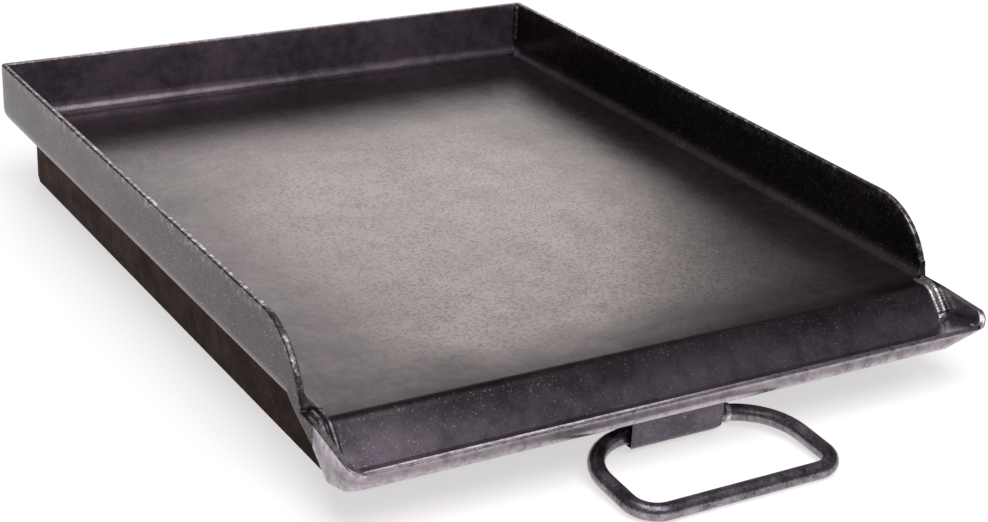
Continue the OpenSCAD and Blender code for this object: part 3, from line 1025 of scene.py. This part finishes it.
    def add_cheek(self, maker: MeshMaker, side: Side) -> None:
        """Adds the cheek that runs a side wall on down to the trough end.

        Args:
            maker: The plate's mesh.
            side: Which half.
        """
        d = self.datum
        foot = self.fin_y(d.top_z)
        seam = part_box("trough_end_left")[1].y + 0.0004
        under = d.under_apron_z(seam) - 0.005
        outline = [
            (foot + 0.014, d.top_z + 0.008),
            (foot + 0.014, d.floor_z + 0.006),
            (foot + 0.004, d.floor_z),
            (seam, under),
            (seam, d.top_z),
            (foot, d.top_z),
            (self.fin_y(d.top_z + 0.003), d.top_z + 0.003),
            (self.fin_y(d.top_z + 0.006), d.top_z + 0.006),
        ]
        skin = 0.00004
        slab = MeshMaker()
        inner = [side.at(d.half_in + skin, y, z) for y, z in outline]
        slab.slab(inner, side.at(d.sheet - 2 * skin, 0, 0))
        slab.round_edges(0.0007, 2, wear=0.7)
        block = bpy.data.meshes.new("cheek")
        slab.bm.to_mesh(block)
        slab.bm.free()
        maker.bm.from_mesh(block)
        bpy.data.meshes.remove(block)

    def add_corner_bead(self, side: Side) -> None:
        """Adds the bead down the inside of one upright rear corner.

        Args:
            side: Which corner.
        """
        d = self.datum
        name = f"rear_corner_weld_{side.name.lower()}"
        low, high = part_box(name)
        inset = 0.0003
        x, y = d.half_in - inset, d.rear_y - d.sheet - inset
        line = [side.at(x, y, z) for z in spaced(low.z, high.z, 6)]
        maker = MeshMaker()
        Bead(line, 0.0027, 0.0019, seed=3 + side.value).lay(maker, Vector((-side.value, -1, 0)))
        self.place(maker.shape(name + "_bead", 60.0), Slot.WELD, name, oiled=True)


# ---------------------------------------------------------------- grease trough


@dataclass
class GreaseTrough(Assembly):
    """The trough floor with its folded lip, the two trough ends and the welds that close them."""

    lip_in_r: float = 0.0015
    end_r: float = 0.004
    edge_r: float = 0.0008
    left_rise: float = 0.0031
    right_rise: float = 0.0058
    kick_x: float = 0.1535
    end_steps: int = 8

    def build(self) -> None:
        """Builds the trough's pieces."""
        self.add_trough()
        for side in Side:
            self.add_end(side)
            self.add_edge_weld(side)
        self.add_seam_weld()

    @property
    def foot(self) -> Point2:
        """The centre of the fold at the lip's foot, as (y, z)."""
        d, r = self.datum, self.lip_in_r
        y = d.lip_y + d.sheet + r
        run = d.keel[0] - y + r * math.sin(d.rise_angle)
        return y, d.keel[1] + run * math.tan(d.rise_angle) + r * math.cos(d.rise_angle)

    @property
    def turn(self) -> Point2:
        """The centre of the turn from a trough end into the lip, as (x, y) on the right."""
        d = self.datum
        return d.half_in - self.end_r, d.lip_y + d.sheet + self.end_r

    def lift(self, side: Side) -> float:
        """Returns how far the trough's floor has risen at one end."""
        d = self.datum
        return (d.half_in - self.kick_x) * math.tan(d.kick_angle) if side is Side.RIGHT else 0.0

    def outline(self) -> Profile:
        """Lists the trough's cross section.

        Returns:
            (y, z, wear) round the closed section, from the lowest line up the inside.
        """
        d, e = self.datum, self.edge_r
        tilt = math.degrees(d.rise_angle)
        inner = arc(self.foot, self.lip_in_r, 270 - tilt, 180, 6)
        outer = arc(self.foot, self.lip_in_r + d.sheet, 180, 270 - tilt, 10)
        y_in, y_out, top = d.lip_y + d.sheet, d.lip_y, d.lip_top_z - e
        found = [(*at, 0.0) for at in drawn(d.keel, inner[0], 5) + inner[1:]]
        found += [(*at, w) for at, w in zip(arc((y_in - e, top), e, 0, 90, 3), (0.5, 1, 1, 1))]
        found += [(*at, w) for at, w in zip(arc((y_out + e, top), e, 90, 180, 3), (1, 1, 1, 0.5))]
        found += [(y_out, (outer[0][1] + top) / 2, 0.0)]
        found += [(*at, 0.25 + 0.5 * math.sin(math.pi * i / 10)) for i, at in enumerate(outer)]
        return found + [(*at, 0.0) for at in drawn(outer[-1], d.keel_under, 5)[1:]]

    def add_trough(self) -> None:
        """Adds the trough floor and lip as one folded sheet, with its two corners filled."""
        d = self.datum
        turn_x = self.turn[0]
        outline = self.outline()
        below_lip = 0.0008
        maker, rows = MeshMaker(), []
        for x in spaced(-turn_x, self.kick_x, 40) + spaced(self.kick_x, turn_x, 6)[1:]:
            lift = max(0.0, x - self.kick_x) * math.tan(d.kick_angle)
            highest = d.lip_top_z - below_lip
            rows.append([Vector((x, y, min(z + lift, max(z, highest)))) for y, z, _ in outline])
        maker.loft(rows, [[wear for _, _, wear in outline]] * len(rows), ring=True)
        maker.cap(rows[0])
        maker.cap(rows[-1])
        for side in Side:
            self.fill_corner(maker, side)
        strip = []
        for x, lift in ((self.kick_x, 0.0), (d.half_in, self.lift(Side.RIGHT))):
            near, z = d.keel[0] + lift / math.tan(d.apron_angle), d.keel[1] + lift
            strip.append(self.slice(x, (near, z), (d.keel[0], z), d.sheet))
        maker.loft(strip, ring=True)
        self.place(maker.shape("grease_trough_sheet", 50.0), Slot.TROUGH, "grease_trough")

    def fill_corner(self, maker: MeshMaker, side: Side) -> None:
        """Adds the trough's floor between the lip's turn and one trough end.

        Args:
            maker: The trough's mesh.
            side: Which end.
        """
        d = self.datum
        turn_x, turn_y = self.turn
        near = d.keel[1] + (d.keel[0] - turn_y) * math.tan(d.rise_angle)
        drop = self.end_r * math.tan(d.kick_angle) if side is Side.RIGHT else 0.0
        corners = []
        for x, fall in ((turn_x, drop), (d.half_in, 0.0)):
            z = self.lift(side) - fall
            ends = (turn_y, near + z), (d.keel[0], d.keel[1] + z)
            corners.append(self.slice(side.value * x, *ends, d.sheet * 1.02))
        maker.loft(corners, ring=True)

    @staticmethod
    def slice(x: float, start: Point2, end: Point2, thickness: float) -> Row:
        """Returns the four corners of a strip of floor cut at one X.

        Args:
            x: Where it is cut.
            start: The upper face's first (y, z).
            end: The upper face's last (y, z).
            thickness: The strip's upright thickness.
        """
        lower = [(y, z - thickness) for y, z in (end, start)]
        return standing(x, [start, end, *lower])

    def end_path(self, seam: float) -> list[tuple[Point2, Point2]]:
        """Lists stations along a trough end, for the right side.

        Args:
            seam: How far back the end reaches.

        Returns:
            The inner and the outer point of each station, as (x, y).
        """
        d, turn = self.datum, self.turn
        found = [((d.half_in, y), (d.half_w, y)) for y in spaced(seam, turn[1], self.end_steps)]
        inner = arc(turn, self.end_r, 0, -90, 10)[1:]
        outer = arc(turn, self.end_r + d.sheet, 0, -90, 10)[1:]
        return found + list(zip(inner, outer))

    def add_end(self, side: Side) -> None:
        """Adds one trough end, from its seam on the cheek round into the lip.

        Args:
            side: Which end.
        """
        name = f"trough_end_{side.name.lower()}"
        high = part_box(name)[1]
        edge, foot = 0.0007, 0.0036
        maker, rows, wears = MeshMaker(), [], []
        for i, (inner, outer) in enumerate(self.end_path(high.y)):
            top, bottom = self.end_heights(side, outer, high)
            round_in = max(0, i - self.end_steps) / 10
            section = self.end_section(bottom, top, edge, edge + (foot - edge) * round_in)
            row = []
            for n, z, _ in section:
                x, y = (a + (b - a) * n for a, b in zip(inner, outer))
                row.append(side.at(x, y, z))
            rows.append(row)
            wears.append([wear for _, _, wear in section])
        maker.loft(rows, wears, ring=True)
        maker.cap(rows[0])
        maker.cap(rows[-1])
        self.place(maker.shape(name + "_sheet", 50.0), Slot.TROUGH, name)

    def end_heights(self, side: Side, outer: Point2, high: Vector) -> Point2:
        """Finds the upper and the lower edge of a trough end.

        Args:
            side: Which end.
            outer: Where on its outer face, as (x, y) on the right.
            high: The highest corner of its CAD node's box.

        Returns:
            The heights of the upper and the lower edge.
        """
        d, (x, y), (turn_x, turn_y) = self.datum, outer, self.turn
        rise = self.left_rise if side is Side.LEFT else self.right_rise
        lift = self.lift(side)
        top = d.lip_top_z + rise
        if y >= turn_y:
            top += (high.z - top) * (y - turn_y) / (high.y - turn_y)
        else:
            top = d.lip_top_z + rise * (x - turn_x + y - d.lip_y) / (2 * (self.end_r + d.sheet))
        keel_y, keel_z = d.keel_under
        if y < keel_y:
            return top, d.under_trough_z(y) + lift
        back = d.under_apron_z(high.y) - (0.005 if side is Side.LEFT else 0.0)
        return top, keel_z + lift + (back - keel_z - lift) * (y - keel_y) / (high.y - keel_y)

    def end_section(self, bottom: float, top: float, e: float, foot_r: float) -> Profile:
        """Lists a trough end's cross section.

        Args:
            bottom: The height of its lower edge.
            top: The height of its upper edge.
            e: The rounding of its edges.
            foot_r: The rounding of its outer lower edge.

        Returns:
            (share of the thickness from inside, height, wear) round the closed section.
        """
        t, middle = self.datum.sheet, (bottom + top) / 2
        rim = arc((e, top - e), e, 180, 90, 3) + arc((t - e, top - e), e, 90, 0, 3)
        foot = arc((t - min(foot_r, t), bottom + foot_r), foot_r, 0, -90, 5)
        found = [(0.0, bottom + e, 0.3), (0.0, middle, 0.0)]
        found += [(n / t, z, 1.0) for n, z in rim] + [(1.0, middle, 0.0)]
        found += [(max(0.0, n / t), z, 0.7) for n, z in foot]
        return found + [(e / t * 0.9, bottom, 0.3)]

    def add_edge_weld(self, side: Side) -> None:
        """Adds the double bead that closes the gap at one side of the apron.

        Args:
            side: Which side.
        """
        d = self.datum
        name = f"apron_edge_weld_{side.name.lower()}"
        low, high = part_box(name)
        lift = self.lift(side)
        keel = (d.keel[0] + lift / math.tan(d.apron_angle), d.keel[1] + lift)
        curve = [(high.y - 0.001, d.top_z), (d.fold_y, d.top_z), *d.fold(d.fold_r, 6), keel]
        maker = MeshMaker()
        inner, outer = sorted((abs(low.x), abs(high.x)))
        near, far, deep = inner - 0.0004, outer + 0.0002, 0.003
        bed = [(near, 0.0003), ((inner + outer) / 2, 0.0004), (far, -0.0002)]
        bed += [(far, deep), (near, deep)]
        rows = [[side.at(x, y + sink * 0.7, z - sink) for x, sink in bed] for y, z in curve]
        maker.loft(rows, [[0.6] * len(bed)] * len(rows), ring=True)
        maker.cap(rows[0])
        maker.cap(rows[-1])
        depth = 0.04 if side is Side.LEFT else 0.13
        for x, radius, seed in ((inner + 0.0011, 0.0016, 5), (outer - 0.0013, 0.0019, 8)):
            line = [side.at(x, y, z - 0.0004) for y, z in curve]
            bead = Bead(line, radius, 0.0017, seed + side.value, flat=0.85, depth=depth)
            bead.lay(maker, Vector((0, -0.6, 0.8)))
        self.place(maker.shape(name + "_bead", 60.0), Slot.WELD, name, oiled=side is Side.LEFT)

    def add_seam_weld(self) -> None:
        """Adds the long bead under the trough's lowest line, on both sides of the bracket."""
        d = self.datum
        low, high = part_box("trough_seam_weld")
        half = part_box("handle_bracket")[1].x + 0.001
        maker = MeshMaker()
        y, z = d.keel_under
        for seed, (start, end) in enumerate(((low.x, -half), (half, high.x))):
            line = lying(start + 0.0015, end - 0.0015, 10, y + 0.0002, z + 0.0006)
            Bead(line, 0.0022, 0.0023, seed=20 + seed).lay(maker, Vector((0, -0.1, -1)))
        self.place(maker.shape("trough_seam_bead", 60.0), Slot.WELD, "trough_seam_weld", oiled=True)


# ---------------------------------------------------------------- drain spout


@dataclass
class DrainSpout(Assembly):
    """The short tube that drains the trough, and the ring of weld round it."""

    wall: float = 0.00145
    lip: float = 0.0004
    sides: int = 40

    def build(self) -> None:
        """Builds the spout and its weld."""
        low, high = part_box("drain_spout")
        centre = (low + high) / 2
        outer = (high.x - low.x) / 2
        bore = outer - self.wall
        full, soft = self.lip, self.lip * 0.3
        half = [(0.0, full), (soft, soft), (full, 0.0)]
        profile = [(bore, high.z), (outer, high.z)]
        profile += [(outer - n, low.z + up) for n, up in half]
        profile += [(bore + n, low.z + up) for n, up in reversed(half)]
        maker, rows, wears = MeshMaker(), [], []
        for i in range(self.sides):
            a = 2 * math.pi * i / self.sides
            way = Vector((math.cos(a), math.sin(a), 0))
            rows.append([Vector((centre.x, centre.y, z)) + way * r for r, z in profile])
            wears.append([0, 0, 0.4, 1, 1, 1, 1, 0.4])
        maker.loft(rows, wears, ring=True, loop=True)
        self.place(maker.shape("drain_spout_tube", 40.0), Slot.SPOUT, "drain_spout")
        self.add_ring(centre, outer)

    def add_ring(self, centre: Vector, outer: float) -> None:
        """Adds the weld round the spout, under the trough.

        Args:
            centre: The spout's centre.
            outer: The spout's outer radius.
        """
        ring = []
        for x, y in arc((centre.x, centre.y), outer + 0.0002, 0, 360, 28)[:-1]:
            ring.append(Vector((x, y, self.datum.under_trough_z(y) + 0.0002)))
        maker = MeshMaker()
        Bead(ring, 0.0013, 0.0018, seed=31, closed=True).lay(maker, Vector((0, 0, -1)))
        self.place(maker.shape("drain_spout_bead", 60.0), Slot.WELD, "drain_spout_weld", oiled=True)


# ---------------------------------------------------------------- rails and cross bars


@dataclass
class RailFrame(Assembly):
    """The two rails on edge and the three cross bars under the plate, with their stitch welds."""

    chamfer: float = 0.0035
    edge_r: float = 0.0006
    bar_edge_r: float = 0.00075
    stitch: float = 0.026
    stitch_shares: tuple[float, ...] = (-0.42, -0.14, 0.14, 0.42)
    stitch_r: float = 0.002592

    def build(self) -> None:
        """Builds the rails, the bars and the welds."""
        for side in Side:
            self.add_rail(side)
            self.add_rail_welds(side)
        for place in ("front", "middle", "rear"):
            self.add_bar(f"cross_bar_{place}")
        self.add_bar_welds()

    def add_rail(self, side: Side) -> None:
        """Adds one rail, whose lower ends are chamfered.

        Args:
            side: Which rail.
        """
        name = f"side_rail_{side.name.lower()}"
        low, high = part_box(name)
        c = self.chamfer
        outline = [(low.y + c, low.z), (high.y - c, low.z), (high.y, low.z + c)]
        outline += [(high.y, high.z), (low.y, high.z), (low.y, low.z + c)]
        maker = MeshMaker()
        maker.slab(standing(low.x, outline), Vector((high.x - low.x, 0, 0)))
        maker.round_edges(self.edge_r, 3)
        self.place(maker.shape(name + "_flat_bar"), Slot.RAIL, name)

    def add_bar(self, name: str) -> None:
        """Adds one cross bar.

        Args:
            name: The CAD node's name.
        """
        low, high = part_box(name)
        outline = [(low.y, low.z), (high.y, low.z), (high.y, high.z), (low.y, high.z)]
        maker = MeshMaker()
        maker.slab(standing(low.x, outline), Vector((high.x - low.x, 0, 0)))
        maker.round_edges(self.bar_edge_r, 3)
        self.place(maker.shape(name + "_flat_bar"), Slot.RAIL, name)

    def add_rail_welds(self, side: Side) -> None:
        """Adds the stitch welds along both faces of one rail.

        Args:
            side: Which rail.
        """
        d = self.datum
        low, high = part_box(f"side_rail_{side.name.lower()}")
        name = f"rail_welds_{side.name.lower()}"
        maker = MeshMaker()
        inset, half = 0.0008, self.stitch / 2 - 0.001
        for i, share in enumerate(self.stitch_shares):
            y = (low.y + high.y) / 2 + share * (high.y - low.y)
            for x, way in ((low.x, -1), (high.x, 1)):
                spots = spaced(y - half, y + half, 4)
                line = [Vector((x + way * inset, at, d.floor_z - inset)) for at in spots]
                bead = Bead(line, self.stitch_r, 0.0024, seed=40 + i * 2 + way)
                bead.lay(maker, Vector((way, 0, -1)))
        self.place(maker.shape(name + "_beads", 60.0), Slot.WELD, name, oiled=True)

    def add_bar_welds(self) -> None:
        """Adds the upright welds where each cross bar meets a rail."""
        maker = MeshMaker()
        seed, inset = 60, 0.0007
        for place in ("front", "middle", "rear"):
            low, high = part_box(f"cross_bar_{place}")
            for x, way in ((low.x, 1), (high.x, -1)):
                for y, face in ((low.y, -1), (high.y, 1)):
                    seed += 1
                    heights = spaced(low.z + 0.003, high.z - 0.006, 3)
                    line = [Vector((x + way * inset, y + face * inset, z)) for z in heights]
                    Bead(line, 0.0023, 0.0021, seed=seed).lay(maker, Vector((way, face, 0)))
        self.place(maker.shape("cross_bar_beads", 60.0), Slot.WELD, "cross_bar_welds", oiled=True)


# ---------------------------------------------------------------- handle


@dataclass
class HandleBracket(Assembly):
    """The folded strip under the trough that the handle turns in, and the weld along its leg."""

    strip: float = 0.0026
    flange_h: float = 0.0105
    chamfer: float = 0.004

    @cached_property
    def hook_r(self) -> float:
        """The inside radius of the half turn that holds the rod."""
        return self.datum.pivot.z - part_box("handle_bracket")[0].z - self.strip

    def build(self) -> None:
        """Builds the bracket and its weld."""
        d = self.datum
        low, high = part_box("handle_bracket")
        y, z = d.pivot.y, d.pivot.z
        outer_r = self.hook_r + self.strip
        leg = [(at, d.under_apron_z(at)) for at in (y + outer_r, y + self.hook_r)]
        flange_z = z + self.flange_h
        outline = [(y - outer_r, flange_z), *arc((y, z), outer_r, 180, 360, 24), *leg]
        outline += [*arc((y, z), self.hook_r, 360, 180, 24), (y - self.hook_r, flange_z)]
        maker = MeshMaker()
        maker.slab(standing(low.x, outline), Vector((high.x - low.x, 0, 0)))
        for side in Side:
            cut = bmesh.ops.bisect_plane(
                maker.bm,
                geom=[*maker.bm.verts, *maker.bm.edges, *maker.bm.faces],
                plane_co=side.at(high.x - self.chamfer, 0, low.z),
                plane_no=side.at(1, 0, -1).normalized(),
                clear_outer=True,
            )
            edges = [g for g in cut["geom_cut"] if isinstance(g, bmesh.types.BMEdge)]
            bmesh.ops.holes_fill(maker.bm, edges=edges)
        bmesh.ops.remove_doubles(maker.bm, verts=maker.bm.verts, dist=1e-6)
        maker.round_edges(0.0004, 2, over=35.0)
        self.place(maker.shape("handle_bracket_strip"), Slot.BRACKET, "handle_bracket")
        self.add_weld(high.x)

    def add_weld(self, half: float) -> None:
        """Adds the weld along the rear of the bracket's leg.

        Args:
            half: Half the bracket's width.
        """
        d = self.datum
        y = d.pivot.y + self.hook_r + self.strip
        line = lying(0.003 - half, half - 0.003, 6, y + 0.0007, d.under_apron_z(y) - 0.0002)
        maker = MeshMaker()
        Bead(line, 0.0025, 0.0022, seed=80).lay(maker, Vector((0, 1, -1)))
        self.place(maker.shape("bracket_bead", 60.0), Slot.WELD, "bracket_weld", oiled=True)


@dataclass
class BailHandle(Assembly):
    """The D-shaped handle of round bar, with the swollen ring where its ends are joined."""

    rod_r: float = 0.0043
    pivot_bend: float = 0.031
    grip_bend: float = 0.013
    butt_length: float = 0.0036
    butt_swell: float = 0.00075
    sides: int = 24

    def build(self) -> None:
        """Builds the rod and its butt weld."""
        centres = self.centreline()
        maker, rows = MeshMaker(), []
        count = len(centres)
        for i, (u, v) in enumerate(centres):
            before, after = centres[i - 1], centres[(i + 1) % count]
            along = Vector((after[0] - before[0], after[1] - before[1], 0)).normalized()
            side = Vector((along.y, -along.x, 0))
            row = []
            for across, up in arc((0.0, 0.0), 1.0, 0, 360, self.sides)[:-1]:
                lump = noise.noise(Vector((u * 60 + across * 0.35, v * 60 + up * 0.35, 0)))
                r = self.rod_r * (0.988 + 0.012 * lump)
                row.append(self.at_rest(Vector((u, v, r * up)) + side * (r * across)))
            rows.append(row)
        maker.loft(rows, ring=True, loop=True)
        self.place(maker.shape("handle_round_bar", 60.0), Slot.ROD, "handle_rod", body=Body.HANDLE)
        self.add_butt_weld()

    @cached_property
    def arm_x(self) -> float:
        """How far out the middle of each arm is."""
        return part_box("handle_rod")[1].x - self.rod_r

    @cached_property
    def length(self) -> float:
        """From the pivot to the middle of the grip."""
        reach = self.datum.pivot.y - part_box("handle_rod")[0].y - self.rod_r
        return math.hypot(reach, self.datum.pivot.z - self.rod_r)

    def tilt(self) -> float:
        """Returns the handle's slope at rest, with its grip on the table."""
        return math.asin((self.datum.pivot.z - self.rod_r) / self.length)

    def at_rest(self, point: Vector) -> Vector:
        """Returns where a point of the handle's own plane is at rest."""
        pivot = self.datum.pivot
        return Matrix.Rotation(self.tilt(), 3, "X") @ point + Vector((0, pivot.y, pivot.z))

    def centreline(self) -> list[Point2]:
        """Lists the bar's closed centreline in the handle's own plane.

        Returns:
            (x, y) points, with the pivot's axis at y = 0 and the grip in front.
        """
        straight, grip = self.arm_x - self.pivot_bend, self.arm_x - self.grip_bend
        reach = self.grip_bend - self.length
        line = [(x, 0.0) for x in spaced(-straight, straight, 30)]
        line += arc((straight, -self.pivot_bend), self.pivot_bend, 90, 0, 26)[1:]
        line += [(self.arm_x, y) for y in spaced(-self.pivot_bend, reach, 10)[1:]]
        line += arc((grip, reach), self.grip_bend, 0, -90, 16)[1:]
        line += [(x, -self.length) for x in spaced(grip, -grip, 40)[1:]]
        line += arc((-grip, reach), self.grip_bend, -90, -180, 16)[1:]
        line += [(-self.arm_x, y) for y in spaced(reach, -self.pivot_bend, 10)[1:]]
        line += arc((-straight, -self.pivot_bend), self.pivot_bend, 180, 90, 26)[1:-1]
        return line

    def add_butt_weld(self) -> None:
        """Adds the swollen ring where the bar's two ends are joined, beside the bracket."""
        low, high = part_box("handle_butt_weld")
        centre = Vector(((low.x + high.x) / 2, 0, 0))
        straight = self.arm_x - self.pivot_bend
        turn = math.asin((centre.x - straight) / self.pivot_bend)
        centre.y = -self.pivot_bend + self.pivot_bend * math.cos(turn)
        along = Vector((math.cos(turn), -math.sin(turn), 0))
        side = Vector((math.sin(turn), math.cos(turn), 0))
        rows, wears = [], []
        for share in spaced(0, 1, 12):
            swell = self.butt_swell * math.sqrt(max(0.0, 1 - (2 * share - 1) ** 2))
            middle = centre + along * ((share - 0.5) * self.butt_length)
            row = []
            for across, up in arc((0.0, 0.0), 1.0, 0, 360, self.sides)[:-1]:
                lump = 1 + 0.25 * noise.noise(Vector((across, up, share)) * 2)
                r = self.rod_r - 0.0001 + swell * lump
                row.append(self.at_rest(middle + side * (r * across) + Vector((0, 0, r * up))))
            rows.append(row)
            wears.append([0.4 + 0.6 * math.sin(math.pi * share)] * self.sides)
        maker = MeshMaker()
        maker.loft(rows, wears, ring=True)
        ring = maker.shape("handle_butt_ring", 60.0)
        self.place(ring, Slot.WELD, "handle_butt_weld", body=Body.HANDLE)


# ---------------------------------------------------------------- studio


@dataclass(frozen=True)
class SoftPanel:
    """One large soft light."""

    name: str
    place: tuple[float, float, float]
    size: Point2
    radiance: float
    colour: RGB
    aim: tuple[float, float, float] = (0.0, 0.0, 0.04)

    def hang(self) -> None:
        """Adds the light to the scene."""
        lamp = bpy.data.lights.new(self.name, "AREA")
        lamp.shape = "RECTANGLE"
        lamp.size, lamp.size_y = self.size
        lamp.energy = self.radiance * math.pi * self.size[0] * self.size[1]
        lamp.color = self.colour
        light = bpy.data.objects.new(self.name, lamp)
        light.location = self.place
        way = Vector(self.aim) - Vector(self.place)
        light.rotation_euler = way.to_track_quat("-Z", "Y").to_euler()
        bpy.context.scene.collection.objects.link(light)


@dataclass(frozen=True)
class Studio:
    """The pale table, the soft lights and the camera."""

    ambient: RGB = (0.138, 0.131, 0.142)
    eye: tuple[float, float, float] = (-0.51888, -0.88159, 0.45802)
    yaw: float = math.radians(31.17)
    pitch: float = math.radians(23.28)
    roll: float = math.radians(2.75)
    lens: float = 73.38
    table_half: float = 15.0
    panels: tuple[SoftPanel, ...] = (
        SoftPanel("overhead_panel", (-0.15, -0.9, 2.1), (2.0, 2.0), 2.3, (1.0, 0.98, 1.0)),
        SoftPanel("rear_panel", (1.16, 2.48, 1.22), (1.3, 0.95), 1.9, (1.0, 0.97, 0.95)),
    )

    def build(self) -> None:
        """Builds the studio."""
        self.lay_table()
        world = bpy.data.worlds.new("soft_room")
        world.use_nodes = True
        background = world.node_tree.nodes["Background"]
        background.inputs["Color"].default_value = (*self.ambient, 1.0)
        bpy.context.scene.world = world
        for panel in self.panels:
            panel.hang()
        bpy.context.scene.view_settings.view_transform = "Standard"
        self.aim_camera()

    def lay_table(self) -> None:
        """Adds the pale table top."""
        maker = MeshMaker()
        reach = spaced(-self.table_half, self.table_half, 12)
        maker.loft([[Vector((x, y, 0)) for x in reach] for y in reach])
        table = maker.shape("pale_table")
        table.data.materials.append(PaleTable("pale_table").build())

    def aim_camera(self) -> None:
        """Adds the camera and makes it the scene's."""
        ahead = Vector((math.sin(self.yaw), math.cos(self.yaw), 0))
        level = Vector((math.cos(self.yaw), -math.sin(self.yaw), 0))
        forward = math.cos(self.pitch) * ahead - Vector((0, 0, math.sin(self.pitch)))
        above = level.cross(forward)
        right = math.cos(self.roll) * level + math.sin(self.roll) * above
        up = -math.sin(self.roll) * level + math.cos(self.roll) * above
        lens = bpy.data.cameras.new("camera")
        lens.lens, lens.sensor_width = self.lens, 36.0
        lens.clip_start = 0.02
        camera = bpy.data.objects.new("camera", lens)
        turn = Matrix((right, up, -forward)).transposed().to_4x4()
        camera.matrix_world = Matrix.Translation(Vector(self.eye)) @ turn
        bpy.context.scene.collection.objects.link(camera)
        bpy.context.scene.camera = camera


def finishes() -> dict[Slot, bpy.types.Material]:
    """Makes one material for each slot.

    Returns:
        The material of each slot.
    """
    chosen = {
        Slot.PLATE: SeasonedPlate(
            "seasoned_plate_steel",
            metallic=0.75,
            rough=(0.245, 0.3),
            speck_share=0.07,
            dent_depth=0.0002,
        ),
        Slot.TROUGH: OiledSteel(
            "oiled_trough_steel",
            dark=(0.08, 0.068, 0.079),
            pale=(0.37, 0.32, 0.36),
            speck_share=0.05,
            rub=(0.34, 0.6),
        ),
        # painted shade: the rails' near-black colours and dimmed, tinted reflections stand in for
        # the shade under the plate, on top of their black mill scale
        Slot.RAIL: OiledSteel(
            "rail_mill_scale_and_painted_shade",
            dark=(0.009, 0.0072, 0.0068),
            pale=(0.028, 0.0225, 0.021),
            metallic=0.98,
            patch_scale=30.0,
            rough=(0.42, 0.58),
            edge_tint=(0.72, 0.62, 0.6),
        ),
        Slot.BRACKET: OiledSteel(
            "bracket_black_oxide",
            dark=(0.06, 0.05, 0.06),
            pale=(0.15, 0.128, 0.155),
            patch_scale=50.0,
            speck_share=0.05,
        ),
        Slot.ROD: OiledSteel(
            "rod_black_oxide",
            dark=(0.05, 0.042, 0.052),
            pale=(0.38, 0.345, 0.385),
            patch_scale=90.0,
            speck_share=0.06,
            rough=(0.22, 0.36),
            edge_wear=0.0,
        ),
        Slot.SPOUT: OiledSteel(
            "spout_steel",
            dark=(0.08, 0.066, 0.076),
            pale=(0.22, 0.185, 0.21),
            patch_scale=120.0,
        ),
        Slot.WELD: WeldMetal("bare_weld_metal"),
    }
    return {slot: finish.build() for slot, finish in chosen.items()}


def oiled_weld() -> bpy.types.Material:
    """Makes the material of weld that is blackened by oil.

    Returns:
        The material.
    """
    return WeldMetal(
        "oiled_weld_metal",
        bright=(0.26, 0.225, 0.25),
        tint=(0.12, 0.1, 0.11),
        slag=(0.04, 0.034, 0.04),
        slag_share=0.5,
    ).build()


def main() -> None:
    """Builds the griddle round its CAD frame, and the studio it stands in."""
    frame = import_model()
    datum = Datum.read(frame)
    coats, blackened = finishes(), oiled_weld()
    pieces = 0
    for part in (CookingPlate, GreaseTrough, DrainSpout, RailFrame, HandleBracket, BailHandle):
        assembly = part(datum, coats, blackened)
        assembly.build()
        pieces += len(assembly.made)
    Studio().build()
    log.info("%d pieces", pieces)


if __name__ == "__main__":
    logging.basicConfig(level=logging.INFO)
    main()
